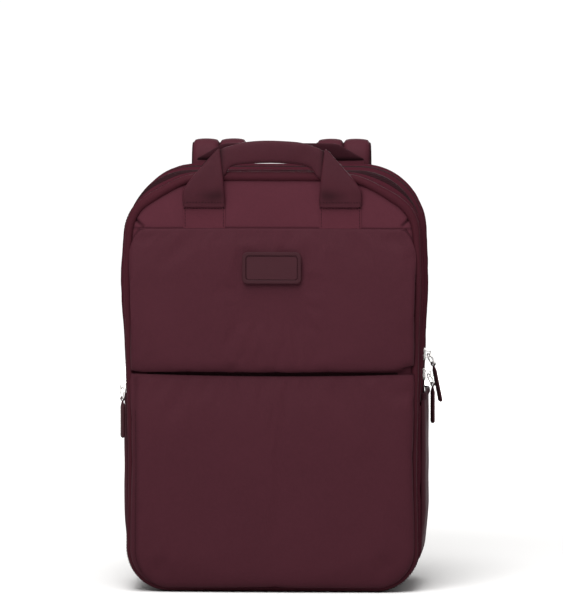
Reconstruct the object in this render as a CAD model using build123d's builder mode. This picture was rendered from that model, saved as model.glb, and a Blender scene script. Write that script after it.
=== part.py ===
"""Travel backpack: a boxy two-handled rucksack with two zipped compartments, two front pockets,
side pockets, a trolley sleeve and padded shoulder straps.

Millimetres. +Z is up, the front face looks along -Y and the shoulder straps hang on the +Y side.
The origin is the centre of the flat base. Soft pieces are plain closed solids of the right size.
"""

import os

from build123d import *

# ---- driving dimensions -------------------------------------------------------------------------
WIDTH = 289.0  # across the side gussets
HEIGHT = 414.0  # base to top gusset
DEPTH = 150.0  # front seam to back seam
TOP_RADIUS = 62.0  # upper corners of the outline
BASE_RADIUS = 42.0  # lower corners of the outline
GUSSET_WALL = 2.6  # foam-backed gusset fabric
PANEL_WALL = 2.0  # front panel fabric with its lining
POCKET_WALL = 1.8  # pocket fabric
FIT = 0.3  # gap between pieces that move past each other
SEAT = 0.2  # gap between pieces sewn side by side

FRONT_PIPE_RADIUS = 4.0
REAR_PIPE_RADIUS = 3.0
FOLD_Z = 217.5  # height at which the front flap bends open

TAPE_WIDTH = 7.0  # one visible zip tape half
TAPE_THICKNESS = 1.2
COIL_WIDTH = 2.2  # one row of zip teeth, on the inside of its tape
COIL_THICKNESS = 1.6
FRONT_ZIP_Y = -45.0  # the main compartment's zip
REAR_ZIP_Y = 25.0  # the laptop compartment's zip
ZIP_END_Z = 182.0

UPPER_POCKET_DEPTH = 12.0
UPPER_POCKET_RISE = 7.0  # its mouth above the start of the upper corners
UPPER_POCKET_INSET = 10.0
LOWER_POCKET_DEPTH = 11.0
LOWER_POCKET_DROP = 11.0  # its mouth below the bending line
LOWER_POCKET_INSET = 9.5
POCKET_SLIT = 3.0  # the upper pocket hangs this far above the bending line
POCKET_ZIP_INSET = 21.0  # each end of the lower pocket's zip from the side

BADGE_WIDTH = 58.0
BADGE_HEIGHT = 31.0
BADGE_DROP = 38.5  # its middle below the upper pocket's mouth
BADGE_FRAME = 3.4
BADGE_FRAME_THICKNESS = 2.0
BADGE_PLATE_THICKNESS = 1.2
BADGE_RADIUS = 5.0

WEBBING_WIDTH = 41.0  # the handles' webbing
WEBBING_THICKNESS = 1.6
HANDLE_SPACING = 134.0  # between the front handle's two legs
FRONT_HANDLE_DROP = 34.0  # its stitch line below the top gusset
FRONT_HANDLE_RISE = 65.0
FRONT_HANDLE_THICKNESS = 5.0
HANDLE_TUCK = 35.0  # how far a leg is sewn down below its stitch line
GRIP_HEIGHT = 21.5
REAR_HANDLE_SPACING = 126.0
REAR_HANDLE_RISE = 17.0
REAR_HANDLE_THICKNESS = 3.4
REAR_GRIP_HEIGHT = 12.0

BACK_PANEL_THICKNESS = 8.8
BACK_BOARD_THICKNESS = 2.0
BASE_BOARD_THICKNESS = 3.0
LINING_THICKNESS = 0.8
DIVIDER_THICKNESS = 6.0
DIVIDER_Y = 17.5
DIVIDER_DROP = 67.0
ORGANIZER_WIDTH = 220.0
ORGANIZER_BASE_Z = 60.0
ORGANIZER_TOP_Z = 235.0
ORGANIZER_DEPTH = 8.4

SIDE_POCKET_FRONT_Y = -36.0
SIDE_POCKET_BACK_Y = 62.0
SIDE_POCKET_BASE_Z = 44.0
SIDE_POCKET_TOP_Z = 187.5
SIDE_POCKET_GAP = 4.6
SIDE_POCKET_WALL = 1.2
SIDE_HEM = 6.0

SLEEVE_WIDTH = 204.0
SLEEVE_GAP = 14.0
SLEEVE_WALL = 1.4
SLEEVE_DROP = 112.0  # its top below the top gusset
SLEEVE_HEIGHT = 150.0

STRAP_WIDTH = 54.0
STRAP_SPACING = 124.0
STRAP_THICKNESS = 12.0
STRAP_ROOT_DROP = 60.0
STRAP_RISE = 18.5  # middle of the strap's thickness above the top gusset where it turns over
STRAP_BEND = 17.0
STRAP_END_Z = 128.0
STRAP_END_Y = 106.0
YOKE_HEIGHT = 33.0
YOKE_THICKNESS = 3.4
STRAP_WEBBING = 25.0
STRAP_WEBBING_THICKNESS = 1.2
LOCK_BAR_RADIUS = 2.0
LOCK_PITCH = 10.0  # between the ladder lock's bars
LOCK_RAIL = 3.5
LOCK_LOOP_RADIUS = 3.0  # middle of the webbing round a bar
TAIL_END_Z = 26.0
ANCHOR_INSET = 28.0
ANCHOR_Z = 26.0

SLIDER_LENGTH = 12.0
SLIDER_WIDTH = 5.2
SLIDER_THICKNESS = 2.6
BRIDGE_WIRE = 0.7  # radius of the bridge that the ring hangs on
BRIDGE_LENGTH = 6.0
RING_RADIUS = 5.7
RING_WIRE = 0.8
RING_TWIST = 24.0  # degrees, how far a puller hangs turned out of the gusset's plane
RING_STAND = 5.4  # the ring's hinge line above the gusset
TAB_LENGTH = 32.0
TAB_NECK = 7.0
TAB_WIDTH = 8.0
TAB_THICKNESS = 3.0
TAB_LOOP_RADIUS = 2.3
TAB_LOOP_BORE = 1.4
FRONT_SLIDER_Z = 199.0
REAR_SLIDER_Z = 228.0
LOW_SLIDER_Z = 208.0
REAR_RING_TILT = 27.0  # degrees, the upper puller leans on the lower one
REAR_TAB_TILT = 12.0
LOW_RING_TILT = 24.0  # degrees, the lower puller lies over the side pocket's hem

# ---- places that follow from them ---------------------------------------------------------------
FRONT_Y = -DEPTH / 2
BACK_Y = DEPTH / 2
PANEL_FACE_Y = FRONT_Y - PANEL_WALL
BACK_FACE_Y = BACK_Y + PANEL_WALL
FRONT_BAND_Y = FRONT_Y + FRONT_PIPE_RADIUS + SEAT / 2
REAR_PIPE_Y = BACK_FACE_Y - REAR_PIPE_RADIUS - SEAT / 2
REAR_BAND_Y = REAR_PIPE_Y - REAR_PIPE_RADIUS - SEAT / 2
PANEL_INSET = 2 * FRONT_PIPE_RADIUS + SEAT
BACK_INSET = 2 * REAR_PIPE_RADIUS + SEAT
SIDE_X = WIDTH / 2
UPPER_POCKET_TOP_Z = HEIGHT - TOP_RADIUS + UPPER_POCKET_RISE
LOWER_POCKET_TOP_Z = FOLD_Z - LOWER_POCKET_DROP
BADGE_Z = UPPER_POCKET_TOP_Z - BADGE_DROP
FRONT_HANDLE_Z = HEIGHT - FRONT_HANDLE_DROP
DIVIDER_TOP_Z = HEIGHT - DIVIDER_DROP
POCKET_ZIP_LENGTH = WIDTH - 2 * POCKET_ZIP_INSET
STRAP_ROOT_Z = HEIGHT - STRAP_ROOT_DROP
STRAP_CROWN_Z = HEIGHT + STRAP_RISE
SLEEVE_TOP_Z = HEIGHT - SLEEVE_DROP
SLEEVE_BASE_Z = SLEEVE_TOP_Z - SLEEVE_HEIGHT
ANCHOR_X = SIDE_X - ANCHOR_INSET


def save(name, part):
    """Labels a finished piece and writes it as parts/NAME.step."""
    part.label = name
    export_step(part, f"parts/{name}.step")


def outline(inset):
    """The pack's front outline in a sketch, drawn in by inset."""
    with BuildSketch(mode=Mode.PRIVATE) as face:
        with Locations((0, HEIGHT / 2)):
            Rectangle(WIDTH - 2 * inset, HEIGHT - 2 * inset)
        fillet(face.vertices().group_by(Axis.Y)[-1], TOP_RADIUS - inset)
        fillet(face.vertices().group_by(Axis.Y)[0], BASE_RADIUS - inset)
    return face.sketch


def band(inset, wall, front_y, back_y):
    """Adds a strip that runs right round the outline, from front_y to back_y."""
    with BuildSketch(Plane.XZ.offset(-back_y)) as ring:
        add(outline(inset))
        add(outline(inset + wall), mode=Mode.SUBTRACT)
    extrude(ring.sketch, amount=back_y - front_y)


def sheet(inset, front_y, back_y):
    """Adds a plate with the outline's shape, from front_y to back_y."""
    with BuildSketch(Plane.XZ.offset(-back_y)) as plate:
        add(outline(inset))
    extrude(plate.sketch, amount=back_y - front_y)


def above(z):
    """Keeps what is above z."""
    split(bisect_by=Plane.XY.offset(z), keep=Keep.TOP)


def below(z):
    """Keeps what is below z."""
    split(bisect_by=Plane.XY.offset(z), keep=Keep.BOTTOM)


def block(low, high, mode=Mode.ADD):
    """Adds or cuts a box between two corners."""
    size = [b - a for a, b in zip(low, high)]
    middle = [(a + b) / 2 for a, b in zip(low, high)]
    with Locations(tuple(middle)):
        Box(*size, mode=mode)


def tape(zip_y, side):
    """Adds one half of a zip right round the outline: tape outside, teeth inside. side is -1 or 1."""
    inner = zip_y + side * FIT
    outer = zip_y + side * TAPE_WIDTH
    teeth = zip_y + side * (FIT + COIL_WIDTH)
    band(0, TAPE_THICKNESS, min(inner, outer), max(inner, outer))
    band(TAPE_THICKNESS, COIL_THICKNESS, min(inner, teeth), max(inner, teeth))


def piping(radius, y):
    """Adds a round cord along the outline at y, flush with the gusset."""
    path = (Plane.XZ.offset(-y) * outline(radius)).face().outer_wire()
    with BuildSketch(Plane(origin=path @ 0, z_dir=path % 0)) as section:
        Circle(radius)
    sweep(section.sketch, path=path)


# ---- gusset: the strips that run round the sides ------------------------------------------------
os.makedirs("parts", exist_ok=True)

with BuildPart() as lower_gusset:
    band(0, GUSSET_WALL, FRONT_BAND_Y, REAR_BAND_Y)
    below(ZIP_END_Z)
    with BuildPart(mode=Mode.PRIVATE) as front_risers:
        band(0, GUSSET_WALL, FRONT_BAND_Y, FRONT_ZIP_Y - TAPE_WIDTH)
        above(ZIP_END_Z)
        below(FOLD_Z - FIT)
    add(front_risers.part)
save("lower_gusset", lower_gusset.part)

with BuildPart() as mid_gusset:
    band(0, GUSSET_WALL, FRONT_ZIP_Y + TAPE_WIDTH, REAR_ZIP_Y - TAPE_WIDTH)
    above(ZIP_END_Z)
save("mid_gusset", mid_gusset.part)

with BuildPart() as rear_gusset:
    band(0, GUSSET_WALL, REAR_ZIP_Y + TAPE_WIDTH, REAR_BAND_Y)
    above(ZIP_END_Z)
save("rear_gusset", rear_gusset.part)

with BuildPart() as front_gusset:
    band(0, GUSSET_WALL, FRONT_BAND_Y, FRONT_ZIP_Y - TAPE_WIDTH)
    above(FOLD_Z + FIT)
save("front_gusset", front_gusset.part)

# ---- zips ---------------------------------------------------------------------------------------
with BuildPart() as front_zip_rear_tape:
    tape(FRONT_ZIP_Y, 1)
    above(ZIP_END_Z)
save("front_zip_rear_tape", front_zip_rear_tape.part)

with BuildPart() as front_zip_front_tape:
    tape(FRONT_ZIP_Y, -1)
    above(FOLD_Z + FIT)
save("front_zip_front_tape", front_zip_front_tape.part)

with BuildPart() as front_zip_end_tapes:
    tape(FRONT_ZIP_Y, -1)
    above(ZIP_END_Z)
    below(FOLD_Z - FIT)
save("front_zip_end_tapes", front_zip_end_tapes.part)

with BuildPart() as rear_zip_tapes:
    tape(REAR_ZIP_Y, -1)
    tape(REAR_ZIP_Y, 1)
    above(ZIP_END_Z)
save("rear_zip_tapes", rear_zip_tapes.part)

# ---- front: piping, panel, pockets and badge ----------------------------------------------------
with BuildPart() as front_piping_lower:
    piping(FRONT_PIPE_RADIUS, FRONT_Y)
    below(FOLD_Z - FIT)
save("front_piping_lower", front_piping_lower.part)

with BuildPart() as front_piping_upper:
    piping(FRONT_PIPE_RADIUS, FRONT_Y)
    above(FOLD_Z + FIT)
save("front_piping_upper", front_piping_upper.part)

with BuildPart() as front_lower_panel:
    sheet(PANEL_INSET, PANEL_FACE_Y, FRONT_Y)
    below(FOLD_Z - FIT)
save("front_lower_panel", front_lower_panel.part)

with BuildPart() as front_upper_panel:
    sheet(PANEL_INSET, PANEL_FACE_Y, FRONT_Y)
    above(FOLD_Z + FIT)
save("front_upper_panel", front_upper_panel.part)

POCKET_BACK_Y = PANEL_FACE_Y - SEAT / 2
LOWER_POCKET_Y = POCKET_BACK_Y - LOWER_POCKET_DEPTH
with BuildPart() as lower_pocket:
    sheet(LOWER_POCKET_INSET, LOWER_POCKET_Y, POCKET_BACK_Y)
    with BuildSketch(Plane.XZ.offset(-POCKET_BACK_Y)):
        add(outline(LOWER_POCKET_INSET + POCKET_WALL))
    extrude(amount=LOWER_POCKET_DEPTH - POCKET_WALL, mode=Mode.SUBTRACT)
    below(LOWER_POCKET_TOP_Z)
save("lower_pocket", lower_pocket.part)

UPPER_POCKET_Y = POCKET_BACK_Y - UPPER_POCKET_DEPTH
UPPER_POCKET_X = SIDE_X - UPPER_POCKET_INSET
UPPER_POCKET_BASE_Z = FOLD_Z + POCKET_SLIT
with BuildPart() as upper_pocket:
    block(
        (-UPPER_POCKET_X, UPPER_POCKET_Y, UPPER_POCKET_BASE_Z),
        (UPPER_POCKET_X, POCKET_BACK_Y, UPPER_POCKET_TOP_Z),
    )
    fillet(upper_pocket.edges().filter_by(Axis.Z).group_by(Axis.Y)[0], UPPER_POCKET_DEPTH / 2)
    block(
        (-UPPER_POCKET_X + POCKET_WALL, UPPER_POCKET_Y + POCKET_WALL, UPPER_POCKET_BASE_Z + POCKET_WALL),
        (UPPER_POCKET_X - POCKET_WALL, POCKET_BACK_Y, UPPER_POCKET_TOP_Z),
        mode=Mode.SUBTRACT,
    )
save("upper_pocket", upper_pocket.part)

ZIP_TOP_Z = FOLD_Z - 2 * FIT
ZIP_BASE_Z = LOWER_POCKET_TOP_Z + 1
ZIP_MIDDLE_Z = (ZIP_TOP_Z + ZIP_BASE_Z) / 2
POCKET_TAPE_Y = POCKET_BACK_Y - TAPE_THICKNESS
with BuildPart() as pocket_zip_tapes:
    for low_z, high_z in ((ZIP_BASE_Z, ZIP_MIDDLE_Z - FIT), (ZIP_MIDDLE_Z + FIT, ZIP_TOP_Z)):
        block(
            (-POCKET_ZIP_LENGTH / 2, POCKET_TAPE_Y, low_z),
            (POCKET_ZIP_LENGTH / 2, POCKET_BACK_Y, high_z),
        )
save("pocket_zip_tapes", pocket_zip_tapes.part)

BADGE_BACK_Y = UPPER_POCKET_Y - SEAT / 10
with BuildPart() as badge_frame:
    with BuildSketch(Plane.XZ.offset(-BADGE_BACK_Y)):
        with Locations((0, BADGE_Z)):
            RectangleRounded(BADGE_WIDTH, BADGE_HEIGHT, BADGE_RADIUS)
            RectangleRounded(
                BADGE_WIDTH - 2 * BADGE_FRAME,
                BADGE_HEIGHT - 2 * BADGE_FRAME,
                BADGE_RADIUS - BADGE_FRAME / 2,
                mode=Mode.SUBTRACT,
            )
    extrude(amount=BADGE_FRAME_THICKNESS)
    fillet(badge_frame.edges().group_by(Axis.Y)[0], BADGE_FRAME_THICKNESS / 3)
save("badge_frame", badge_frame.part)

with BuildPart() as badge_plate:
    with BuildSketch(Plane.XZ.offset(-BADGE_BACK_Y)):
        with Locations((0, BADGE_Z)):
            RectangleRounded(
                BADGE_WIDTH - 2 * BADGE_FRAME - SEAT,
                BADGE_HEIGHT - 2 * BADGE_FRAME - SEAT,
                BADGE_RADIUS - BADGE_FRAME / 2 - SEAT / 2,
            )
    extrude(amount=BADGE_PLATE_THICKNESS)
save("badge_plate", badge_plate.part)

# ---- handles ------------------------------------------------------------------------------------
TAB_FACE_Y = PANEL_FACE_Y - WEBBING_THICKNESS
with BuildPart() as front_handle_tabs:
    for side in (-1, 1):
        middle_x = side * HANDLE_SPACING / 2
        block(
            (middle_x - WEBBING_WIDTH / 2, TAB_FACE_Y, FRONT_HANDLE_Z - HANDLE_TUCK),
            (middle_x + WEBBING_WIDTH / 2, PANEL_FACE_Y, FRONT_HANDLE_Z),
        )
save("front_handle_tabs", front_handle_tabs.part)

HANDLE_BACK_Y = FRONT_Y - FRONT_PIPE_RADIUS - FIT
HANDLE_OUTER_X = HANDLE_SPACING / 2 + WEBBING_WIDTH / 2
HANDLE_INNER_X = HANDLE_SPACING / 2 - WEBBING_WIDTH / 2
HANDLE_BASE_Z = FRONT_HANDLE_Z + FIT
HANDLE_TOP_Z = FRONT_HANDLE_Z + FRONT_HANDLE_RISE
GRIP_BASE_Z = HANDLE_TOP_Z - GRIP_HEIGHT
LEG_HEIGHT = FRONT_HANDLE_RISE / 4
with BuildPart() as front_handle:
    with BuildSketch(Plane.XZ.offset(-HANDLE_BACK_Y)):
        with BuildLine():
            outer = Polyline(
                (0, HANDLE_BASE_Z),
                (HANDLE_OUTER_X, HANDLE_BASE_Z),
                (HANDLE_OUTER_X, HANDLE_BASE_Z + LEG_HEIGHT),
                (HANDLE_SPACING / 2 - WEBBING_WIDTH / 4, HANDLE_TOP_Z - GRIP_HEIGHT / 2),
                (HANDLE_INNER_X - WEBBING_WIDTH / 2, HANDLE_TOP_Z),
                (0, HANDLE_TOP_Z),
                close=True,
            )
        make_face()
        with BuildLine():
            inner = Polyline(
                (0, HANDLE_BASE_Z),
                (HANDLE_INNER_X, HANDLE_BASE_Z),
                (HANDLE_INNER_X, GRIP_BASE_Z - LEG_HEIGHT),
                (HANDLE_INNER_X - WEBBING_WIDTH / 4, GRIP_BASE_Z),
                (0, GRIP_BASE_Z),
                close=True,
            )
        make_face(mode=Mode.SUBTRACT)
        mirror(about=Plane.YZ)
    extrude(amount=FRONT_HANDLE_THICKNESS)
save("front_handle", front_handle.part)

REAR_FOLD_Z = HEIGHT + 3.0  # the rear handle bends forward just above the top gusset
with BuildPart() as rear_handle_tabs:
    for side in (-1, 1):
        middle_x = side * REAR_HANDLE_SPACING / 2
        block(
            (middle_x - WEBBING_WIDTH / 2, BACK_FACE_Y, REAR_FOLD_Z - FIT - 2 * WEBBING_WIDTH),
            (middle_x + WEBBING_WIDTH / 2, BACK_FACE_Y + WEBBING_THICKNESS, REAR_FOLD_Z - FIT),
        )
save("rear_handle_tabs", rear_handle_tabs.part)

REAR_HANDLE_Y = BACK_FACE_Y + REAR_HANDLE_THICKNESS - WEBBING_THICKNESS / 2
REAR_OUTER_X = REAR_HANDLE_SPACING / 2 + WEBBING_WIDTH / 2
REAR_INNER_X = REAR_HANDLE_SPACING / 2 - WEBBING_WIDTH / 2
REAR_BASE_Z = REAR_FOLD_Z + FIT
REAR_TOP_Z = REAR_BASE_Z + REAR_HANDLE_RISE
with BuildPart() as rear_handle:
    with BuildSketch(Plane.XZ.offset(-REAR_HANDLE_Y)):
        with BuildLine():
            Polyline(
                (0, REAR_TOP_Z - REAR_GRIP_HEIGHT),
                (REAR_INNER_X - REAR_GRIP_HEIGHT / 2, REAR_TOP_Z - REAR_GRIP_HEIGHT),
                (REAR_INNER_X, REAR_BASE_Z),
                (REAR_OUTER_X, REAR_BASE_Z),
                (REAR_OUTER_X - WEBBING_WIDTH / 2, REAR_TOP_Z),
                (0, REAR_TOP_Z),
                close=True,
            )
        make_face()
        mirror(about=Plane.YZ)
    extrude(amount=REAR_HANDLE_THICKNESS)
save("rear_handle", rear_handle.part)

# ---- back and inside ----------------------------------------------------------------------------
BACK_FOAM_Y = BACK_FACE_Y - BACK_PANEL_THICKNESS
with BuildPart() as back_panel:
    sheet(BACK_INSET, BACK_FOAM_Y, BACK_FACE_Y)
save("back_panel", back_panel.part)

BACK_BOARD_INSET = GUSSET_WALL + SEAT
with BuildPart() as back_board:
    sheet(BACK_BOARD_INSET, BACK_FOAM_Y - SEAT - BACK_BOARD_THICKNESS, BACK_FOAM_Y - SEAT)
save("back_board", back_board.part)

with BuildPart() as rear_piping:
    piping(REAR_PIPE_RADIUS, REAR_PIPE_Y)
save("rear_piping", rear_piping.part)

LINING_INSET = max(GUSSET_WALL, TAPE_THICKNESS + COIL_THICKNESS) + SEAT
LINING_FRONT_Y = FRONT_ZIP_Y + TAPE_WIDTH
with BuildPart() as main_lining:
    band(LINING_INSET, LINING_THICKNESS, LINING_FRONT_Y, DIVIDER_Y - SEAT)
save("main_lining", main_lining.part)

with BuildPart() as laptop_divider:
    sheet(LINING_INSET + LINING_THICKNESS + SEAT, DIVIDER_Y, DIVIDER_Y + DIVIDER_THICKNESS)
    below(DIVIDER_TOP_Z)
save("laptop_divider", laptop_divider.part)

BASE_BOARD_X = SIDE_X - BASE_RADIUS
BASE_BOARD_Z = LINING_INSET + LINING_THICKNESS + SEAT
with BuildPart() as base_board:
    block(
        (-BASE_BOARD_X, FRONT_BAND_Y + SEAT, BASE_BOARD_Z),
        (BASE_BOARD_X, DIVIDER_Y - SEAT, BASE_BOARD_Z + BASE_BOARD_THICKNESS),
    )
save("base_board", base_board.part)

ORGANIZER_Y = DIVIDER_Y - SEAT / 2
with BuildPart() as organizer_pocket:
    block(
        (-ORGANIZER_WIDTH / 2, ORGANIZER_Y - ORGANIZER_DEPTH, ORGANIZER_BASE_Z),
        (ORGANIZER_WIDTH / 2, ORGANIZER_Y, ORGANIZER_TOP_Z),
    )
    block(
        (
            -ORGANIZER_WIDTH / 2 + POCKET_WALL,
            ORGANIZER_Y - ORGANIZER_DEPTH + POCKET_WALL,
            ORGANIZER_BASE_Z + POCKET_WALL,
        ),
        (ORGANIZER_WIDTH / 2 - POCKET_WALL, ORGANIZER_Y, ORGANIZER_TOP_Z),
        mode=Mode.SUBTRACT,
    )
save("organizer_pocket", organizer_pocket.part)

# ---- side pockets and their elastic hems --------------------------------------------------------
POCKET_OUT_X = SIDE_X + SIDE_POCKET_GAP + SIDE_POCKET_WALL


def side_tray(side, base_z, top_z, floor):
    """Adds a side pocket's wall with its two returns, and a floor where floor is more than 0."""
    inner = sorted((side * SIDE_X, side * (SIDE_X + SIDE_POCKET_GAP)))
    outer = sorted((side * SIDE_X, side * POCKET_OUT_X))
    block((outer[0], SIDE_POCKET_FRONT_Y, base_z), (outer[1], SIDE_POCKET_BACK_Y, top_z))
    block(
        (inner[0], SIDE_POCKET_FRONT_Y + SIDE_POCKET_WALL, base_z + floor),
        (inner[1], SIDE_POCKET_BACK_Y - SIDE_POCKET_WALL, top_z),
        mode=Mode.SUBTRACT,
    )


for side, word in ((-1, "left"), (1, "right")):
    with BuildPart() as side_pocket:
        side_tray(side, SIDE_POCKET_BASE_Z, SIDE_POCKET_TOP_Z, SIDE_POCKET_WALL)
    save(f"side_pocket_{word}", side_pocket.part)

    with BuildPart() as side_pocket_hem:
        side_tray(side, SIDE_POCKET_TOP_Z, SIDE_POCKET_TOP_Z + SIDE_HEM, 0)
    save(f"side_pocket_hem_{word}", side_pocket_hem.part)

# ---- trolley sleeve -----------------------------------------------------------------------------
SLEEVE_FACE_Y = BACK_FACE_Y + SLEEVE_GAP + SLEEVE_WALL
with BuildPart() as trolley_sleeve:
    block(
        (-SLEEVE_WIDTH / 2, BACK_FACE_Y, SLEEVE_BASE_Z),
        (SLEEVE_WIDTH / 2, SLEEVE_FACE_Y, SLEEVE_TOP_Z),
    )
    block(
        (-SLEEVE_WIDTH / 2 + SLEEVE_WALL, BACK_FACE_Y, SLEEVE_BASE_Z),
        (SLEEVE_WIDTH / 2 - SLEEVE_WALL, BACK_FACE_Y + SLEEVE_GAP, SLEEVE_TOP_Z),
        mode=Mode.SUBTRACT,
    )
save("trolley_sleeve", trolley_sleeve.part)

# ---- shoulder straps ----------------------------------------------------------------------------
YOKE_TOP_Z = STRAP_ROOT_Z + YOKE_HEIGHT / 2
REAR_TAB_BASE_Z = REAR_FOLD_Z - FIT - 2 * WEBBING_WIDTH
YOKE_FACE_Y = BACK_FACE_Y + WEBBING_THICKNESS + YOKE_THICKNESS
with BuildPart() as strap_yoke:
    block(
        (-STRAP_SPACING / 2 - STRAP_WIDTH / 2, BACK_FACE_Y + WEBBING_THICKNESS, YOKE_TOP_Z - YOKE_HEIGHT),
        (STRAP_SPACING / 2 + STRAP_WIDTH / 2, YOKE_FACE_Y, YOKE_TOP_Z),
    )
save("strap_yoke", strap_yoke.part)

ROOT_Y = YOKE_FACE_Y + SEAT + STRAP_THICKNESS / 2
CROWN_Y = ROOT_Y + STRAP_BEND
STRAP_HINGE_Z = STRAP_CROWN_Z + STRAP_THICKNESS / 2
LOCK_TOP_Z = STRAP_END_Z - LOCK_PITCH - 2 * LOCK_LOOP_RADIUS - LOCK_BAR_RADIUS
LOCK_MIDDLE_Z = LOCK_TOP_Z - LOCK_PITCH
LOCK_BASE_Z = LOCK_MIDDLE_Z - LOCK_PITCH
WEBBING_TOP_Z = LOCK_BASE_Z - 3 * LOCK_BAR_RADIUS
WEBBING_JOIN_Z = WEBBING_TOP_Z - STRAP_WEBBING / 2  # the slanting webbing's top corner stays below

for side, word in ((-1, "left"), (1, "right")):
    strap_x = side * STRAP_SPACING / 2
    section_plane = Plane.YZ.offset(strap_x)

    with BuildPart() as strap_root:
        with BuildSketch(section_plane):
            with BuildLine() as root_line:
                FilletPolyline(
                    (ROOT_Y, STRAP_ROOT_Z),
                    (ROOT_Y, STRAP_CROWN_Z),
                    (CROWN_Y - FIT, STRAP_CROWN_Z),
                    radius=STRAP_BEND - 2 * FIT,
                )
            trace(line_width=STRAP_THICKNESS)
        extrude(amount=STRAP_WIDTH / 2, both=True)
    save(f"strap_root_{word}", strap_root.part)

    with BuildPart() as strap_pad:
        with BuildSketch(section_plane):
            with BuildLine() as pad_line:
                FilletPolyline(
                    (CROWN_Y + FIT, STRAP_CROWN_Z),
                    (CROWN_Y + STRAP_BEND, STRAP_CROWN_Z),
                    (STRAP_END_Y, STRAP_END_Z),
                    radius=STRAP_BEND * 0.8,
                )
            trace(line_width=STRAP_THICKNESS)
        extrude(amount=STRAP_WIDTH / 2, both=True)
        split(bisect_by=Plane.XY.offset(STRAP_END_Z), keep=Keep.TOP)
    save(f"strap_pad_{word}", strap_pad.part)

    with BuildPart() as lock_loop:
        with BuildSketch(section_plane):
            with BuildLine():
                bar_middle = (STRAP_END_Y, LOCK_TOP_Z)
                Line(
                    (STRAP_END_Y - LOCK_LOOP_RADIUS, STRAP_END_Z),
                    (STRAP_END_Y - LOCK_LOOP_RADIUS, LOCK_TOP_Z),
                )
                CenterArc(bar_middle, LOCK_LOOP_RADIUS, 180, 180)
                Line(
                    (STRAP_END_Y + LOCK_LOOP_RADIUS, LOCK_TOP_Z),
                    (STRAP_END_Y + LOCK_LOOP_RADIUS, STRAP_END_Z),
                )
            trace(line_width=STRAP_WEBBING_THICKNESS)
        extrude(amount=STRAP_WEBBING / 2, both=True)
    save(f"lock_loop_{word}", lock_loop.part)

    with BuildPart() as ladder_lock:
        inner_x = STRAP_WEBBING / 2 + 1
        for rail_side in (-1, 1):
            rail_x = sorted((rail_side * inner_x, rail_side * (inner_x + LOCK_RAIL)))
            block(
                (
                    strap_x + rail_x[0],
                    STRAP_END_Y - LOCK_BAR_RADIUS,
                    LOCK_BASE_Z - LOCK_BAR_RADIUS,
                ),
                (
                    strap_x + rail_x[1],
                    STRAP_END_Y + LOCK_BAR_RADIUS,
                    LOCK_TOP_Z + LOCK_BAR_RADIUS,
                ),
            )
        fillet(ladder_lock.edges().filter_by(Axis.X), LOCK_BAR_RADIUS * 0.8)
        for bar_z in (LOCK_TOP_Z, LOCK_MIDDLE_Z, LOCK_BASE_Z):
            with BuildSketch(Plane.YZ.offset(strap_x)):
                with Locations((STRAP_END_Y, bar_z)):
                    Circle(LOCK_BAR_RADIUS)
            extrude(amount=inner_x + LOCK_RAIL / 2, both=True)
    save(f"ladder_lock_{word}", ladder_lock.part)

    with BuildPart() as strap_tail:
        with BuildSketch(section_plane):
            with BuildLine():
                Line(
                    (STRAP_END_Y - LOCK_LOOP_RADIUS, WEBBING_TOP_Z),
                    (STRAP_END_Y - LOCK_LOOP_RADIUS, LOCK_MIDDLE_Z),
                )
                CenterArc((STRAP_END_Y, LOCK_MIDDLE_Z), LOCK_LOOP_RADIUS, 180, -180)
                Line(
                    (STRAP_END_Y + LOCK_LOOP_RADIUS, LOCK_MIDDLE_Z),
                    (STRAP_END_Y + LOCK_LOOP_RADIUS, TAIL_END_Z),
                )
            trace(line_width=STRAP_WEBBING_THICKNESS)
        extrude(amount=STRAP_WEBBING / 2, both=True)
    save(f"strap_tail_{word}", strap_tail.part)

    anchor_face_y = BACK_FACE_Y + YOKE_THICKNESS + STRAP_WEBBING_THICKNESS
    lower_end = Vector(side * ANCHOR_X, anchor_face_y, ANCHOR_Z)
    upper_end = Vector(strap_x, STRAP_END_Y - LOCK_LOOP_RADIUS, WEBBING_JOIN_Z)
    along = upper_end - lower_end
    across = Vector(0, 1, 0).cross(along)
    with BuildPart() as lower_webbing:
        with BuildSketch(Plane(origin=lower_end, x_dir=across, z_dir=along)):
            Rectangle(STRAP_WEBBING, STRAP_WEBBING_THICKNESS)
        extrude(amount=along.length)
    save(f"lower_webbing_{word}", lower_webbing.part)

    with BuildPart() as anchor_tab:
        with BuildSketch(Plane.XZ.offset(-BACK_FACE_Y - YOKE_THICKNESS)):
            with BuildLine():
                Polyline(
                    (side * (ANCHOR_X - STRAP_WEBBING), ANCHOR_Z - STRAP_WEBBING / 2),
                    (side * (ANCHOR_X + STRAP_WEBBING / 2), ANCHOR_Z - STRAP_WEBBING / 4),
                    (side * (ANCHOR_X + STRAP_WEBBING / 2), ANCHOR_Z + STRAP_WEBBING / 2),
                    (side * (ANCHOR_X - STRAP_WEBBING / 2), ANCHOR_Z + STRAP_WEBBING / 2),
                    close=True,
                )
            make_face()
        extrude(amount=YOKE_THICKNESS)
    save(f"anchor_tab_{word}", anchor_tab.part)

# ---- zip sliders, rings and pull tabs -----------------------------------------------------------


def gusset_plane(side, zip_y, z):
    """A plane on the side gusset at a zip: x runs back, y up and z out of the gusset on that side."""
    return Plane(origin=(side * SIDE_X, zip_y, z), x_dir=(0, side, 0), z_dir=(side, 0, 0))


def hung(plane, degrees):
    """The plane moved out to the ring's hinge line, turned by the twist and swung out by degrees."""
    lifted = plane.offset(RING_STAND).location
    return Plane(lifted * Rotation(0, RING_TWIST, 0) * Rotation(-degrees, 0, 0))


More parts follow.
